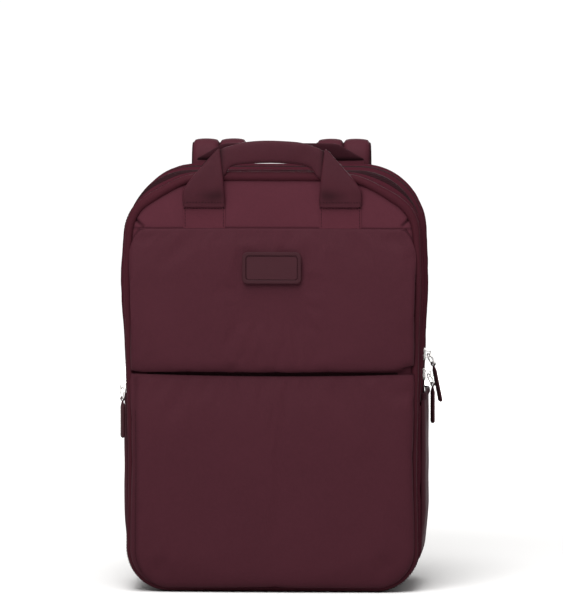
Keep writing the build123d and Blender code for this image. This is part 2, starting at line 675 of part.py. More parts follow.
def add_slider(plane):
    """Adds a slider with the arched bridge that its ring hangs on."""
    with BuildSketch(plane.offset(FIT)) as body:
        RectangleRounded(SLIDER_WIDTH, SLIDER_LENGTH, SLIDER_WIDTH / 3)
    extrude(body.sketch, amount=SLIDER_THICKNESS)
    base = FIT + SLIDER_THICKNESS / 2
    crest = RING_STAND + RING_WIRE + BRIDGE_WIRE + 2 * FIT
    half = BRIDGE_LENGTH / 2
    with BuildLine(mode=Mode.PRIVATE) as arch:
        FilletPolyline(
            plane.from_local_coords((0, -half, base)),
            plane.from_local_coords((0, -half, crest)),
            plane.from_local_coords((0, half, crest)),
            plane.from_local_coords((0, half, base)),
            radius=2 * BRIDGE_WIRE,
        )
    wire = arch.wire()
    with BuildSketch(Plane(origin=wire @ 0, z_dir=wire % 0)) as section:
        Circle(BRIDGE_WIRE)
    sweep(section.sketch, path=wire)


def add_ring(plane, tilt):
    """Adds a ring that hangs from the bridge, its top wire on the hinge line."""
    flat = hung(plane, tilt)
    middle = flat.from_local_coords((0, -RING_RADIUS, 0))
    with Locations(Plane(origin=middle, x_dir=flat.x_dir, z_dir=flat.z_dir)):
        Torus(RING_RADIUS, RING_WIRE)


def add_tab(plane, ring_tilt, tab_tilt):
    """Adds a pull tab whose loop goes round the lowest point of the ring."""
    low = hung(plane, ring_tilt).from_local_coords((0, -2 * RING_RADIUS, 0))
    straight = hung(plane, tab_tilt)
    eye = Plane(origin=low, x_dir=straight.x_dir, z_dir=straight.z_dir)
    with BuildSketch(Plane(origin=low, x_dir=eye.z_dir, z_dir=-eye.x_dir)) as loop:
        Circle(TAB_LOOP_RADIUS)
        with Locations((0, -TAB_LOOP_BORE - TAB_NECK / 2)):
            Rectangle(TAB_THICKNESS, TAB_NECK)
        Circle(TAB_LOOP_BORE, mode=Mode.SUBTRACT)
    extrude(loop.sketch, amount=TAB_WIDTH / 5, both=True)
    with BuildSketch(eye.offset(-TAB_THICKNESS / 2)) as paddle:
        with Locations((0, -TAB_NECK - TAB_LENGTH / 2)):
            RectangleRounded(TAB_WIDTH, TAB_LENGTH, TAB_WIDTH / 4)
    extrude(paddle.sketch, amount=TAB_THICKNESS)


PULLERS = (
    ("front", -1, FRONT_ZIP_Y, FRONT_SLIDER_Z, 0.0, 0.0),
    ("rear", 1, REAR_ZIP_Y, REAR_SLIDER_Z, REAR_RING_TILT, REAR_TAB_TILT),
    ("low", 1, REAR_ZIP_Y, LOW_SLIDER_Z, LOW_RING_TILT, 0.0),
)
for name, side, zip_y, z, ring_tilt, tab_tilt in PULLERS:
    place = gusset_plane(side, zip_y, z)
    with BuildPart() as slider:
        add_slider(place)
    save(f"{name}_slider", slider.part)
    with BuildPart() as ring:
        add_ring(place, ring_tilt)
    save(f"{name}_ring", ring.part)
    with BuildPart() as pull_tab:
        add_tab(place, ring_tilt, tab_tilt)
    save(f"{name}_tab", pull_tab.part)

# ---- the lower pocket's own slider, hidden in the slit ------------------------------------------
HIDDEN_X = -POCKET_ZIP_LENGTH / 2 + SLIDER_LENGTH
HIDDEN_BACK_Y = POCKET_TAPE_Y - FIT
PULL_EYE_RADIUS = 1.4
PULL_PIN_RADIUS = 0.5
HIDDEN_PIN_X = HIDDEN_X + SLIDER_LENGTH / 2 + PULL_EYE_RADIUS
HIDDEN_PIN_Y = HIDDEN_BACK_Y - PULL_EYE_RADIUS
HIDDEN_HALF = 3.4  # half the slider's height
HIDDEN_PULL = 2.2  # half the pull's height
with BuildPart() as pocket_slider:
    block(
        (HIDDEN_X - SLIDER_LENGTH / 2, HIDDEN_BACK_Y - SLIDER_THICKNESS, ZIP_MIDDLE_Z - HIDDEN_HALF),
        (HIDDEN_X + SLIDER_LENGTH / 2 - FIT, HIDDEN_BACK_Y, ZIP_MIDDLE_Z + HIDDEN_HALF),
    )
    for low_z in (ZIP_MIDDLE_Z - HIDDEN_HALF, ZIP_MIDDLE_Z + HIDDEN_PULL + FIT):
        high_z = low_z + HIDDEN_HALF - HIDDEN_PULL - FIT
        block(
            (HIDDEN_X + SLIDER_LENGTH / 2 - 1, HIDDEN_PIN_Y - PULL_PIN_RADIUS, low_z),
            (HIDDEN_PIN_X + PULL_PIN_RADIUS, HIDDEN_PIN_Y + PULL_PIN_RADIUS, high_z),
        )
    with Locations((HIDDEN_PIN_X, HIDDEN_PIN_Y, ZIP_MIDDLE_Z)):
        Cylinder(PULL_PIN_RADIUS, 2 * HIDDEN_HALF)
save("pocket_slider", pocket_slider.part)

PULL_LENGTH = 16.0
PULL_THICKNESS = 1.5
with BuildPart() as pocket_pull:
    with BuildSketch(Plane.XY.offset(ZIP_MIDDLE_Z - HIDDEN_PULL)):
        with Locations((HIDDEN_PIN_X, HIDDEN_PIN_Y)):
            Circle(PULL_EYE_RADIUS)
        with Locations((HIDDEN_PIN_X + PULL_LENGTH / 2, HIDDEN_PIN_Y)):
            Rectangle(PULL_LENGTH, PULL_THICKNESS)
        with Locations((HIDDEN_PIN_X, HIDDEN_PIN_Y)):
            Circle(PULL_PIN_RADIUS + FIT, mode=Mode.SUBTRACT)
    extrude(amount=2 * HIDDEN_PULL)
save("pocket_pull", pocket_pull.part)
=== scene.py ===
"""Looks of a travel backpack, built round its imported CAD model.

Lengths inside the classes are millimetres in the CAD frame and become metres when a mesh is made.
+Z is up, the front face looks along -Y, and the shoulder straps hang on the +Y side.
"""

import logging
import math
from collections.abc import Callable, Sequence
from dataclasses import dataclass
from enum import Enum

import bmesh
import bpy
import numpy as np
from mathutils import Matrix, Vector, noise


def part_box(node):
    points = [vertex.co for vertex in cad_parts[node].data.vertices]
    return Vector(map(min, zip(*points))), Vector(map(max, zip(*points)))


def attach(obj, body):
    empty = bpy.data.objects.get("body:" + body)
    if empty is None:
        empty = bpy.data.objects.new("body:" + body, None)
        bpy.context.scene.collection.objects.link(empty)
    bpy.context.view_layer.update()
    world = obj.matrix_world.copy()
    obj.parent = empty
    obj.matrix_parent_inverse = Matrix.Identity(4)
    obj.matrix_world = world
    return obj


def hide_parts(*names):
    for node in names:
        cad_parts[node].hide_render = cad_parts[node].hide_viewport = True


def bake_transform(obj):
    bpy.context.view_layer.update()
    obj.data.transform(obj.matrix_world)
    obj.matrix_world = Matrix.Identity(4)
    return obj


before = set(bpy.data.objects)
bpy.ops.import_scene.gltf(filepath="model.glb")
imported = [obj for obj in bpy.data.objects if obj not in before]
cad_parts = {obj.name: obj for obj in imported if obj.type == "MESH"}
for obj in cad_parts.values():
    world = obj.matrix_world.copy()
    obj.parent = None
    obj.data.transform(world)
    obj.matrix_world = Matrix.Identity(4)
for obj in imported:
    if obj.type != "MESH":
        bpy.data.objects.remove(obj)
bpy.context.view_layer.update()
LOG = logging.getLogger("backpack")

MM = 0.001
SIDES = (("left", -1), ("right", 1))


# ---- shader expressions -------------------------------------------------------------------------
class Value:
    """One output socket of a material's node tree, usable in Python sums."""

    def __init__(self, shade: "Shade", socket: bpy.types.NodeSocket) -> None:
        """Keeps the socket and the material that it belongs to."""
        self.shade, self.socket = shade, socket

    def _math(self, operation: str, a: object, b: object) -> "Value":
        """Adds a Math node that joins a and b."""
        return self.shade.node("ShaderNodeMath", {"operation": operation}, {0: a, 1: b})

    def __add__(self, other: object) -> "Value":
        """self + other."""
        return self._math("ADD", self, other)

    def __radd__(self, other: object) -> "Value":
        """other + self."""
        return self._math("ADD", other, self)

    def __sub__(self, other: object) -> "Value":
        """self - other."""
        return self._math("SUBTRACT", self, other)

    def __rsub__(self, other: object) -> "Value":
        """other - self."""
        return self._math("SUBTRACT", other, self)

    def __mul__(self, other: object) -> "Value":
        """self * other."""
        return self._math("MULTIPLY", self, other)

    def __rmul__(self, other: object) -> "Value":
        """other * self."""
        return self._math("MULTIPLY", other, self)


class Shade:
    """A material under construction: its node tree, its Principled shader and its object coordinates."""

    def __init__(self, name: str) -> None:
        """Makes an empty material with a Principled shader."""
        self.material = bpy.data.materials.new(name)
        self.material.use_nodes = True
        self.tree = self.material.node_tree
        self.principled = self.tree.nodes["Principled BSDF"]
        self.where = self.node("ShaderNodeTexCoord", {}, {}, "Object")

    def node(self, kind: str, settings: dict, inputs: dict, out: int | str = 0) -> Value:
        """Adds a node.

        Args:
            kind: the node's type.
            settings: attributes that are set before its sockets; "stops" fills a colour ramp.
            inputs: numbers, colours or Values by socket name or number.
            out: the output that is handed back.

        Returns:
            The chosen output.
        """
        made = self.tree.nodes.new(kind)
        for key, value in settings.items():
            if key == "stops":
                while len(made.color_ramp.elements) < len(value):
                    made.color_ramp.elements.new(0.5)
                for element, (place, colour) in zip(made.color_ramp.elements, value):
                    element.position, element.color = place, colour
            else:
                setattr(made, key, value)
        for key, value in inputs.items():
            if isinstance(value, Value):
                self.tree.links.new(value.socket, made.inputs[key])
            else:
                made.inputs[key].default_value = value
        return Value(self, made.outputs[out])

    def noise(self, scale: float, detail: float = 2.0, rough: float = 0.5) -> Value:
        """Returns smooth noise from 0 to 1 with so many lumps to the metre."""
        return self.node(
            "ShaderNodeTexNoise", {}, {"Vector": self.where, "Scale": scale, "Detail": detail, "Roughness": rough}
        )

    def wave(self, direction: tuple[float, float, float], pitch: float) -> Value:
        """Returns a sine from -1 to 1 that repeats each pitch metres along a direction."""
        along = self.node(
            "ShaderNodeVectorMath", {"operation": "DOT_PRODUCT"}, {0: self.where, 1: direction}, "Value"
        )
        return self.node("ShaderNodeMath", {"operation": "SINE"}, {0: along * (math.tau / pitch)})

    def mix(self, share: object, first: object, second: object, how: str = "MIX") -> Value:
        """Returns a blend of two colours."""
        return self.node(
            "ShaderNodeMix", {"data_type": "RGBA", "blend_type": how}, {0: share, 6: first, 7: second}, 2
        )

    def ramp(self, value: Value, low: float, high: float) -> Value:
        """Returns 0 below low, 1 above high and a smooth step between."""
        return self.node(
            "ShaderNodeMapRange",
            {"interpolation_type": "SMOOTHSTEP"},
            {"Value": value, "From Min": low, "From Max": high},
        )

    def attribute(self, name: str) -> Value:
        """Returns a number that the mesh carries."""
        return self.node("ShaderNodeAttribute", {"attribute_name": name}, {}, "Fac")

    def feed(self, socket: str, value: Value) -> None:
        """Links a value to one of the Principled shader's sockets."""
        self.tree.links.new(value.socket, self.principled.inputs[socket])

    def fix(self, **numbers: object) -> None:
        """Sets constants on the Principled shader; an underscore stands for a space."""
        for key, value in numbers.items():
            self.principled.inputs[key.replace("_", " ")].default_value = value

    def bump(self, height: Value, depth: float, strength: float = 1.0) -> None:
        """Feeds the shader a bump of that depth in metres."""
        self.feed(
            "Normal", self.node("ShaderNodeBump", {}, {"Strength": strength, "Distance": depth, "Height": height})
        )


def linear(red: float, green: float, blue: float) -> tuple[float, float, float, float]:
    """Returns an 8-bit display colour as linear RGBA."""
    parts = [c / 255 for c in (red, green, blue)]
    return (*[c / 12.92 if c <= 0.04045 else ((c + 0.055) / 1.055) ** 2.4 for c in parts], 1.0)


def scaled(colour: tuple[float, ...], factor: float) -> tuple[float, float, float, float]:
    """Returns a colour with its light multiplied."""
    return (*[min(1.0, c * factor) for c in colour[:3]], 1.0)


PAINTED_SHADE = "crease"  # the mesh attribute that carries painted shade: it darkens seams, creases, channels and undersides


class Cloth(Enum):
    """How a cloth is woven: its thread pitch in metres and the depth of its relief."""

    TWILL = (0.0009, 0.00006)
    WEBBING = (0.0016, 0.00018)
    MESH = (0.0032, 0.00045)
    PLAIN = (0.0007, 0.00004)
    RIB = (0.0024, 0.0003)


@dataclass(frozen=True)
class Fabric:
    """A dyed cloth with weave and mottling, darkened by painted shade in its seams and creases."""

    name: str
    colour: tuple[float, float, float, float]
    weave: Cloth = Cloth.TWILL
    roughness: float = 0.52
    sheen: float = 0.02
    mottle: float = 0.10
    shine: float = 0.03

    def make(self) -> bpy.types.Material:
        """Returns the finished material."""
        shade = Shade(self.name)
        pitch, depth = self.weave.value
        broad = shade.noise(14, 3, 0.55)
        fine = shade.noise(420, 2, 0.6)
        if self.weave is Cloth.MESH:
            cells = shade.node(
                "ShaderNodeTexVoronoi", {"feature": "F1"},
                {"Vector": shade.where, "Scale": 1 / pitch, "Randomness": 0.15}
            )
            thread = 1 - shade.ramp(cells, 0.12, 0.38)
            relief = 1 - thread
        elif self.weave is Cloth.WEBBING:
            relief = shade.wave((1, 0, 1), pitch) * shade.wave((1, 0, -1), pitch) * 0.5 + 0.5
            thread = relief
        elif self.weave is Cloth.RIB:
            relief = shade.wave((0, 0.35, 1), pitch) * 0.5 + 0.5
            thread = relief
        else:
            relief = (
                shade.wave((0.8, 0.5, 0.62), pitch) * 0.6 + shade.wave((0.5, -0.8, -0.4), pitch * 0.8) * 0.4
            ) * 0.5 + 0.5
            thread = relief
        light = shade.mix(broad, scaled(self.colour, 1 - self.mottle), scaled(self.colour, 1 + self.mottle))
        light = shade.mix(shade.ramp(fine, 0.3, 0.7) * 0.35, light, scaled(self.colour, 1.22))
        light = shade.mix((1 - thread) * 0.3, light, scaled(self.colour, 0.62))
        # painted shade: the crease attribute darkens the colour towards a tenth of it
        crease = shade.attribute(PAINTED_SHADE)
        light = shade.mix(crease, light, scaled(self.colour, 0.10))
        shade.feed("Base Color", light)
        shade.feed("Roughness", shade.noise(60, 2) * 0.12 + (self.roughness - 0.06) + crease * 0.3)
        shade.bump(relief * 0.7 + fine * 0.3, depth)
        shade.fix(
            Sheen_Weight=self.sheen, Sheen_Roughness=0.45, Sheen_Tint=scaled(self.colour, 8),
            Specular_IOR_Level=self.shine
        )
        return shade.material


@dataclass(frozen=True)
class Metal:
    """A polished die-cast metal, or a near-black one whose colour is painted shade, with fine wear."""

    name: str
    colour: tuple[float, float, float, float]
    roughness: float

    def make(self) -> bpy.types.Material:
        """Returns the finished material."""
        shade = Shade(self.name)
        wear = shade.noise(900, 3)
        shade.feed("Base Color", shade.mix(wear * 0.4, self.colour, scaled(self.colour, 0.7)))
        shade.feed("Roughness", wear * 0.2 + self.roughness)
        shade.bump(shade.noise(2500, 2), 0.00002)
        shade.fix(Metallic=1.0)
        return shade.material


@dataclass(frozen=True)
class Moulded:
    """A moulded plastic, rubber or leather-like surface with a fine grain."""

    name: str
    colour: tuple[float, float, float, float]
    roughness: float
    grain: float
    depth: float

    def make(self) -> bpy.types.Material:
        """Returns the finished material."""
        shade = Shade(self.name)
        cells = shade.node(
            "ShaderNodeTexVoronoi", {"feature": "SMOOTH_F1"}, {"Vector": shade.where, "Scale": self.grain}
        )
        broad = shade.noise(60, 2)
        shade.feed("Base Color", shade.mix(broad * 0.5 + cells * 0.3, self.colour, scaled(self.colour, 0.75)))
        shade.feed("Roughness", self.roughness + shade.noise(self.grain / 2, 2) * 0.12)
        shade.bump(cells, self.depth)
        shade.fix(Specular_IOR_Level=0.09)
        return shade.material


WINE = linear(52, 21.5, 28.5)
FINISHES: tuple[Fabric | Metal | Moulded, ...] = (
    Fabric("shell_twill", WINE, roughness=0.72, sheen=0.05, shine=0.0),
    # painted light: a lighter copy of the wine twill, standing in for the top light on the upper front panel
    Fabric("panel_twill_painted_top_light", linear(62, 28, 36), roughness=0.66, shine=0.03),
    Fabric("pocket_twill", linear(53, 23.5, 30.5), roughness=0.64, shine=0.03),
    Fabric("piping_twill", linear(49, 19, 25.5), roughness=0.6, shine=0.02),
    Fabric("strap_twill", linear(57, 24.5, 32), roughness=0.6, shine=0.04),
    # the webbing's own wine colour, made lighter than the plain webbing as painted sheen for its satin look
    Fabric("handle_satin", linear(50, 20, 27), Cloth.WEBBING, roughness=0.45, sheen=0.02, mottle=0.24, shine=0.05),
    Fabric("webbing_weave", linear(42, 17, 23), Cloth.WEBBING, roughness=0.6),
    Fabric("patch_weave", linear(63, 28, 36), Cloth.WEBBING, roughness=0.62, sheen=0.03, mottle=0.14),
    Fabric("tape_weave", linear(30, 12, 16), Cloth.RIB, roughness=0.7, sheen=0.02),
    Fabric("back_mesh", linear(48, 22, 28), Cloth.MESH, roughness=0.75, sheen=0.04),
    Fabric("lining_plain", linear(74, 64, 66), Cloth.PLAIN, roughness=0.6, sheen=0.03),
    Fabric("elastic_rib", linear(42, 17, 23), Cloth.RIB, roughness=0.65),
    Fabric("thread_dark", linear(30, 13, 17), Cloth.PLAIN, roughness=0.6, sheen=0.02),
    Moulded("badge_grain", linear(44, 17, 23), 0.5, 1400, 0.00005),
    Moulded("badge_inset", linear(48, 19, 25.5), 0.5, 1400, 0.00005),
    Moulded("board_fibre", linear(60, 56, 54), 0.8, 700, 0.0001),
    Moulded("buckle_plastic", linear(32, 15, 19), 0.38, 2200, 0.00003),
    Moulded("teeth_nylon", linear(30, 14, 18), 0.35, 2200, 0.00002),
    Moulded("pull_rubber", linear(50, 23, 28), 0.5, 2600, 0.00003),
    Metal("slider_nickel", (0.82, 0.80, 0.78, 1.0), 0.16),
    # painted shade: near-black, wine-tinted metal for the pocket slider and pull, so that they read as the dark
    # slit they sit in
    Metal("metal_painted_slit_shade", (0.010, 0.005, 0.006, 1.0), 0.6),
)
MATERIALS: dict[str, bpy.types.Material] = {}


# ---- mesh tools ---------------------------------------------------------------------------------
def piece(
    name: str,
    points: np.ndarray,
    faces: Sequence[Sequence[int]],
    finish: str,
    crease: np.ndarray | None = None,
    sharp: float = 50,
) -> bpy.types.Object:
    """Makes a closed mesh object.

    Args:
        name: the piece's name.
        points: its vertices in millimetres.
        faces: its faces.
        finish: the name of its material.
        crease: how much painted shade each vertex carries, from 0 to 1.
        sharp: edges that turn more than this many degrees look sharp.

    Returns:
        The object, at the origin.
    """
    mesh = bpy.data.meshes.new(name)
    mesh.from_pydata((np.asarray(points, float).reshape(-1, 3) * MM).tolist(), [], [list(f) for f in faces])
    shade = mesh.attributes.new(PAINTED_SHADE, "FLOAT", "POINT")
    if crease is not None:
        shade.data.foreach_set("value", np.clip(crease, 0, 1).astype(np.float32).ravel())
    tidy_mesh(mesh, sharp)
    made = bpy.data.objects.new(name, mesh)
    bpy.context.scene.collection.objects.link(made)
    mesh.materials.append(MATERIALS[finish])
    return made


def tidy_mesh(mesh: bpy.types.Mesh, sharp: float) -> None:
    """Merges doubles, turns the normals outward and smooths a mesh."""
    work = bmesh.new()
    work.from_mesh(mesh)
    bmesh.ops.remove_doubles(work, verts=work.verts, dist=1e-6)
    bmesh.ops.dissolve_degenerate(work, edges=work.edges, dist=1e-7)
    bmesh.ops.recalc_face_normals(work, faces=work.faces)
    work.to_mesh(mesh)
    work.free()
    mesh.shade_smooth()
    mesh.set_sharp_from_angle(angle=math.radians(sharp))


def settle(
    made: bpy.types.Object,
    body: str | tuple[str, str],
    nodes: Sequence[str] = (),
    span: tuple[tuple[float, float, float], tuple[float, float, float]] | None = None,
) -> bpy.types.Object:
    """Hands a finished piece to the frame.

    Args:
        made: the piece.
        body: the body it rides on; for a pair of bodies given with a span, the piece is only baked in place and
            attached to neither.
        nodes: the CAD nodes it stands for.
        span: where a bend would start and end, in millimetres; only whether it is given is read, and nothing bends
            the piece.

    Returns:
        The piece.
    """
    if nodes:
        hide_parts(*nodes)
    if isinstance(body, tuple) and span:
        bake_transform(made)
    else:
        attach(made, str(body))
    LOG.info("%s: %d faces on %s", made.name, len(made.data.polygons), body)
    return made


def skin(rings: np.ndarray, closed: bool) -> tuple[np.ndarray, list[tuple[int, ...]]]:
    """Joins closed rings of points into a tube.

    Args:
        rings: an array of stations by section points by 3.
        closed: whether the last ring joins the first; if not, both ends are capped.

    Returns:
        The points and the faces.
    """
    count, size, _ = rings.shape
    points = rings.reshape(-1, 3)
    faces: list[tuple[int, ...]] = []
    for i in range(count if closed else count - 1):
        a, b = i * size, ((i + 1) % count) * size
        faces += [(a + j, a + (j + 1) % size, b + (j + 1) % size, b + j) for j in range(size)]
    if not closed:
        for ring in (0, count - 1):
            middle = len(points)
            points = np.vstack([points, rings[ring].mean(0)])
            faces += [(middle, ring * size + j, ring * size + (j + 1) % size) for j in range(size)]
    return points, faces


def slab(front: np.ndarray, back: np.ndarray) -> tuple[np.ndarray, list[tuple[int, ...]]]:
    """Joins two matching grids of points into a closed sheet with a rim."""
    rows, columns, _ = front.shape
    half = rows * columns
    faces: list[tuple[int, ...]] = []
    for i in range(rows - 1):
        for j in range(columns - 1):
            a = i * columns + j
            quad = (a, a + 1, a + columns + 1, a + columns)
            faces += [quad, tuple(half + k for k in reversed(quad))]
    rim = [j for j in range(columns)] + [i * columns + columns - 1 for i in range(1, rows)]
    rim += [
        (rows - 1) * columns + j for j in range(columns - 2, -1, -1)
    ] + [i * columns for i in range(rows - 2, 0, -1)]
    faces += [(a, half + a, half + b, b) for a, b in zip(rim, rim[1:] + rim[:1])]
    return np.vstack([front.reshape(-1, 3), back.reshape(-1, 3)]), faces


def thickened(grid: np.ndarray, wall: float) -> tuple[np.ndarray, list[tuple[int, ...]]]:
    """Gives a grid of points a wall on the side away from its row-by-column normal."""
    normal = np.cross(np.gradient(grid, axis=1), np.gradient(grid, axis=0))
    normal /= np.maximum(np.linalg.norm(normal, axis=2, keepdims=True), 1e-9)
    return slab(grid, grid - normal * wall)


def step(value: float | np.ndarray, low: float, high: float) -> float | np.ndarray:
    """Returns 0 below low, 1 above high and a smooth step between."""
    t = np.clip((np.asarray(value, float) - low) / (high - low), 0, 1)
    return t * t * (3 - 2 * t)


def lumps(x: float, y: float, z: float, size: float) -> float:
    """Returns smooth noise from about -1 to 1 whose lumps are so many millimetres wide."""
    return noise.noise(Vector((x / size, y / size, z / size)))


def lumps_over(points: np.ndarray, size: float, seed: float = 0.0) -> np.ndarray:
    """Returns lumps() for each point of an array."""
    flat = points.reshape(-1, 3)
    return np.array([lumps(x + seed, y, z, size) for x, y, z in flat]).reshape(points.shape[:-1])


def smooth_line(corners: Sequence[tuple[float, ...]], count: int) -> np.ndarray:
    """Returns evenly spaced points on a smooth curve through the corners."""
    knots = np.array(corners, float)
    padded = np.vstack([2 * knots[0] - knots[1], knots, 2 * knots[-1] - knots[-2]])
    dense = []
    for a, b, c, d in zip(padded, padded[1:], padded[2:], padded[3:]):
        for t in np.linspace(0, 1, 24, endpoint=False):
            dense.append(
                0.5 * (2 * b + (c - a) * t + (2 * a - 5 * b + 4 * c - d) * t**2 + (3 * b - a - 3 * c + d) * t**3)
            )
    dense.append(knots[-1])
    return even(np.array(dense), count)


HALF_WIDTH = 144.5  # half the pack's width across its gussets
FRONT_ZIP_Y, REAR_ZIP_Y = -45, 25  # how deep the two zips lie
ZIP_HOLD = 9  # how far from a zip the gusset still lies flat
CORNER_DROOP = 9.0  # how far the upper front corners sink
GUSSET_SWELL = 2.6  # how far the upper sides bulge
HIP_PINCH = -1.6  # how far the lower front sides draw in


def slump(points: np.ndarray) -> np.ndarray:
    """Lets the soft front droop at its upper corners and its sides swell, except where a zip holds them."""
    x, y, z = (np.asarray(points, float)[..., k] for k in range(3))
    front = 1 - step(y, -66, -38)
    droop = CORNER_DROOP * np.exp(-(((np.abs(x) - 112) / 30) ** 2)) * step(z, 352, 398) * front
    zips = (
        1 - np.exp(-(((y - FRONT_ZIP_Y) / ZIP_HOLD) ** 2))
    ) * (1 - np.exp(-(((y - REAR_ZIP_Y) / ZIP_HOLD) ** 2)))
    side = np.clip(np.abs(x) / HALF_WIDTH, 0, 1.1) ** 6
    swelling = zips * GUSSET_SWELL * np.exp(-(((z - 308) / 52) ** 2)) * side * (1 - 0.6 * step(y, -40, 60))
    hips = HIP_PINCH * np.exp(-(((z - 120) / 60) ** 2)) * side * front
    return np.stack([x + np.sign(x) * (swelling + hips), y, z - droop], axis=-1)


def even(line: np.ndarray, count: int) -> np.ndarray:
    """Returns count points spaced evenly along a polyline."""
    along = np.concatenate([[0], np.cumsum(np.linalg.norm(np.diff(line, axis=0), axis=1))])
    want = np.linspace(0, along[-1], count)
    return np.stack([np.interp(want, along, line[:, k]) for k in range(line.shape[1])], axis=1)


@dataclass(frozen=True)
class Station:
    """A point on the pack's outline with its outward direction and its distance along the outline."""

    x: float
    z: float
    out_x: float
    out_z: float
    along: float

    def at(self, out: float, y: float) -> tuple[float, float, float]:
        """Returns the point that is so far outside the outline at depth y."""
        return (self.x + self.out_x * out, y, self.z + self.out_z * out)


@dataclass(frozen=True)
class Outline:
    """The pack's rounded front outline, seen along Y."""

    half: float
    height: float
    top: float
    base: float

    def stations(self, pitch: float) -> list[Station]:
        """Returns points about pitch apart, from the middle of the base round to the right."""
        found: list[tuple[float, float, float, float]] = []
        h, t, b, high = self.half, self.top, self.base, self.height
        runs = (
            ("line", (0, 0), (h - b, 0), (0, -1)),
            ("arc", (h - b, b), b, -90),
            ("line", (h, b), (h, high - t), (1, 0)),
            ("arc", (h - t, high - t), t, 0),
            ("line", (h - t, high), (t - h, high), (0, 1)),
            ("arc", (t - h, high - t), t, 90),
            ("line", (-h, high - t), (-h, b), (-1, 0)),
            ("arc", (b - h, b), b, 180),
            ("line", (b - h, 0), (0, 0), (0, -1)),
        )
        for kind, first, second, third in runs:
            if kind == "line":
                length = math.dist(first, second)
                count = max(1, round(length / pitch))
                for i in range(count):
                    s = i / count
                    found.append(
                        (first[0] + (second[0] - first[0]) * s, first[1] + (second[1] - first[1]) * s, *third)
                    )
            else:
                count = max(4, round(math.radians(90) * second / pitch))
                for i in range(count):
                    angle = math.radians(third + 90 * i / count)
                    out = (math.cos(angle), math.sin(angle))
                    found.append((first[0] + out[0] * second, first[1] + out[1] * second, *out))
        line, along, last = [], 0.0, found[0]
        for spot in found:
            along += math.dist(spot[:2], last[:2])
            line.append(Station(*spot, along))
            last = spot
        return line

    def arch(self, pitch: float, base_z: float) -> list[Station]:
        """Returns the part of the outline that is above a height, right side first."""
        return [s for s in self.stations(pitch) if s.z >= base_z - 1e-6]

    def reach(self, z: float, inset: float) -> float:
        """Returns half the width at a height of the outline drawn in by inset."""
        half = self.half - inset
        for radius, depth in ((self.base - inset, self.base - z), (self.top - inset, z - self.height + self.top)):
            if depth > 0:
                return half - radius + math.sqrt(max(radius**2 - depth**2, 0))
        return half

    def outward(self, x: float, z: float, inset: float) -> tuple[float, float]:
        """Returns the outline's outward direction next to a point."""
        radius = (self.top if z > self.height / 2 else self.base) - inset
        up = 1 if z > self.height / 2 else -1
        centre = self.height - inset - radius if up > 0 else inset + radius
        dx, dz = abs(x) - (self.half - inset - radius), (z - centre) * up
        side = 1 if x > 0 else -1
        if dx > 0 and dz > 0:
            length = max(math.hypot(dx, dz), 1e-9)
            return side * dx / length, up * dz / length
        return (0.0, float(up)) if dz > dx else (float(side), 0.0)

    def margin(self, x: float, z: float, inset: float) -> float:
        """Returns how far a point is inside the outline drawn in by inset."""
        half, radius = self.half - inset, (self.top if z > self.height / 2 else self.base) - inset
        top, base = self.height - inset, inset
        centre = top - radius if z > self.height / 2 else base + radius
        dx, dz = abs(x) - (half - radius), (z - centre) * (1 if z > self.height / 2 else -1)
        if dx > 0 and dz > 0:
            return radius - math.hypot(dx, dz)
        return min(half - abs(x), top - z, z - base)


PACK = Outline(half=144.5, height=414.0, top=62.0, base=42.0)
FOLD = ((0.0, -75.0, 206.0), (0.0, -75.0, 230.0))  # where the fabric of the front bends
def ring_at(station: Station, section: Sequence[tuple[float, float]]) -> list[tuple[float, float, float]]:
    """Places a section of (outward, y) points at a station of the outline."""
    return [station.at(out, y) for out, y in section]


def strip(
    stations: Sequence[Station],
    span: tuple[float, float],
    wall: float,
    puff: Callable[[Station, float], float],
    lift: float = 0.0,
) -> np.ndarray:
    """Returns the rings of a flat strip of cloth along the outline.

    Args:
        stations: the run of the outline.
        span: its front and back y.
        wall: its thickness.
        puff: how far a point stands out, for a station and a share across from 0 to 1.
        lift: how far the whole strip stands out.

    Returns:
        Stations by section points by 3.
    """
    across = np.linspace(0, 1, 11)
    rings = []
    for s in stations:
        y = [span[0] + (span[1] - span[0]) * t for t in across]
        outer = [(lift + puff(s, t) - 0.7 * (abs(2 * t - 1) ** 8), depth) for t, depth in zip(across, y)]
        inner = [(lift - wall, depth) for depth in reversed(y)]
        rings.append(ring_at(s, outer + inner))
    return np.array(rings)


def rope(
    stations: Sequence[Station], y: float, inset: float, radius: Callable[[Station], float], sides: int = 14
) -> np.ndarray:
    """Returns the rings of a round cord along the outline."""
    rings = []
    for s in stations:
        r = radius(s)
        turns = [math.tau * k / sides for k in range(sides)]
        rings.append(ring_at(s, [(-inset + r * math.cos(a), y + r * math.sin(a)) for a in turns]))
    return np.array(rings)


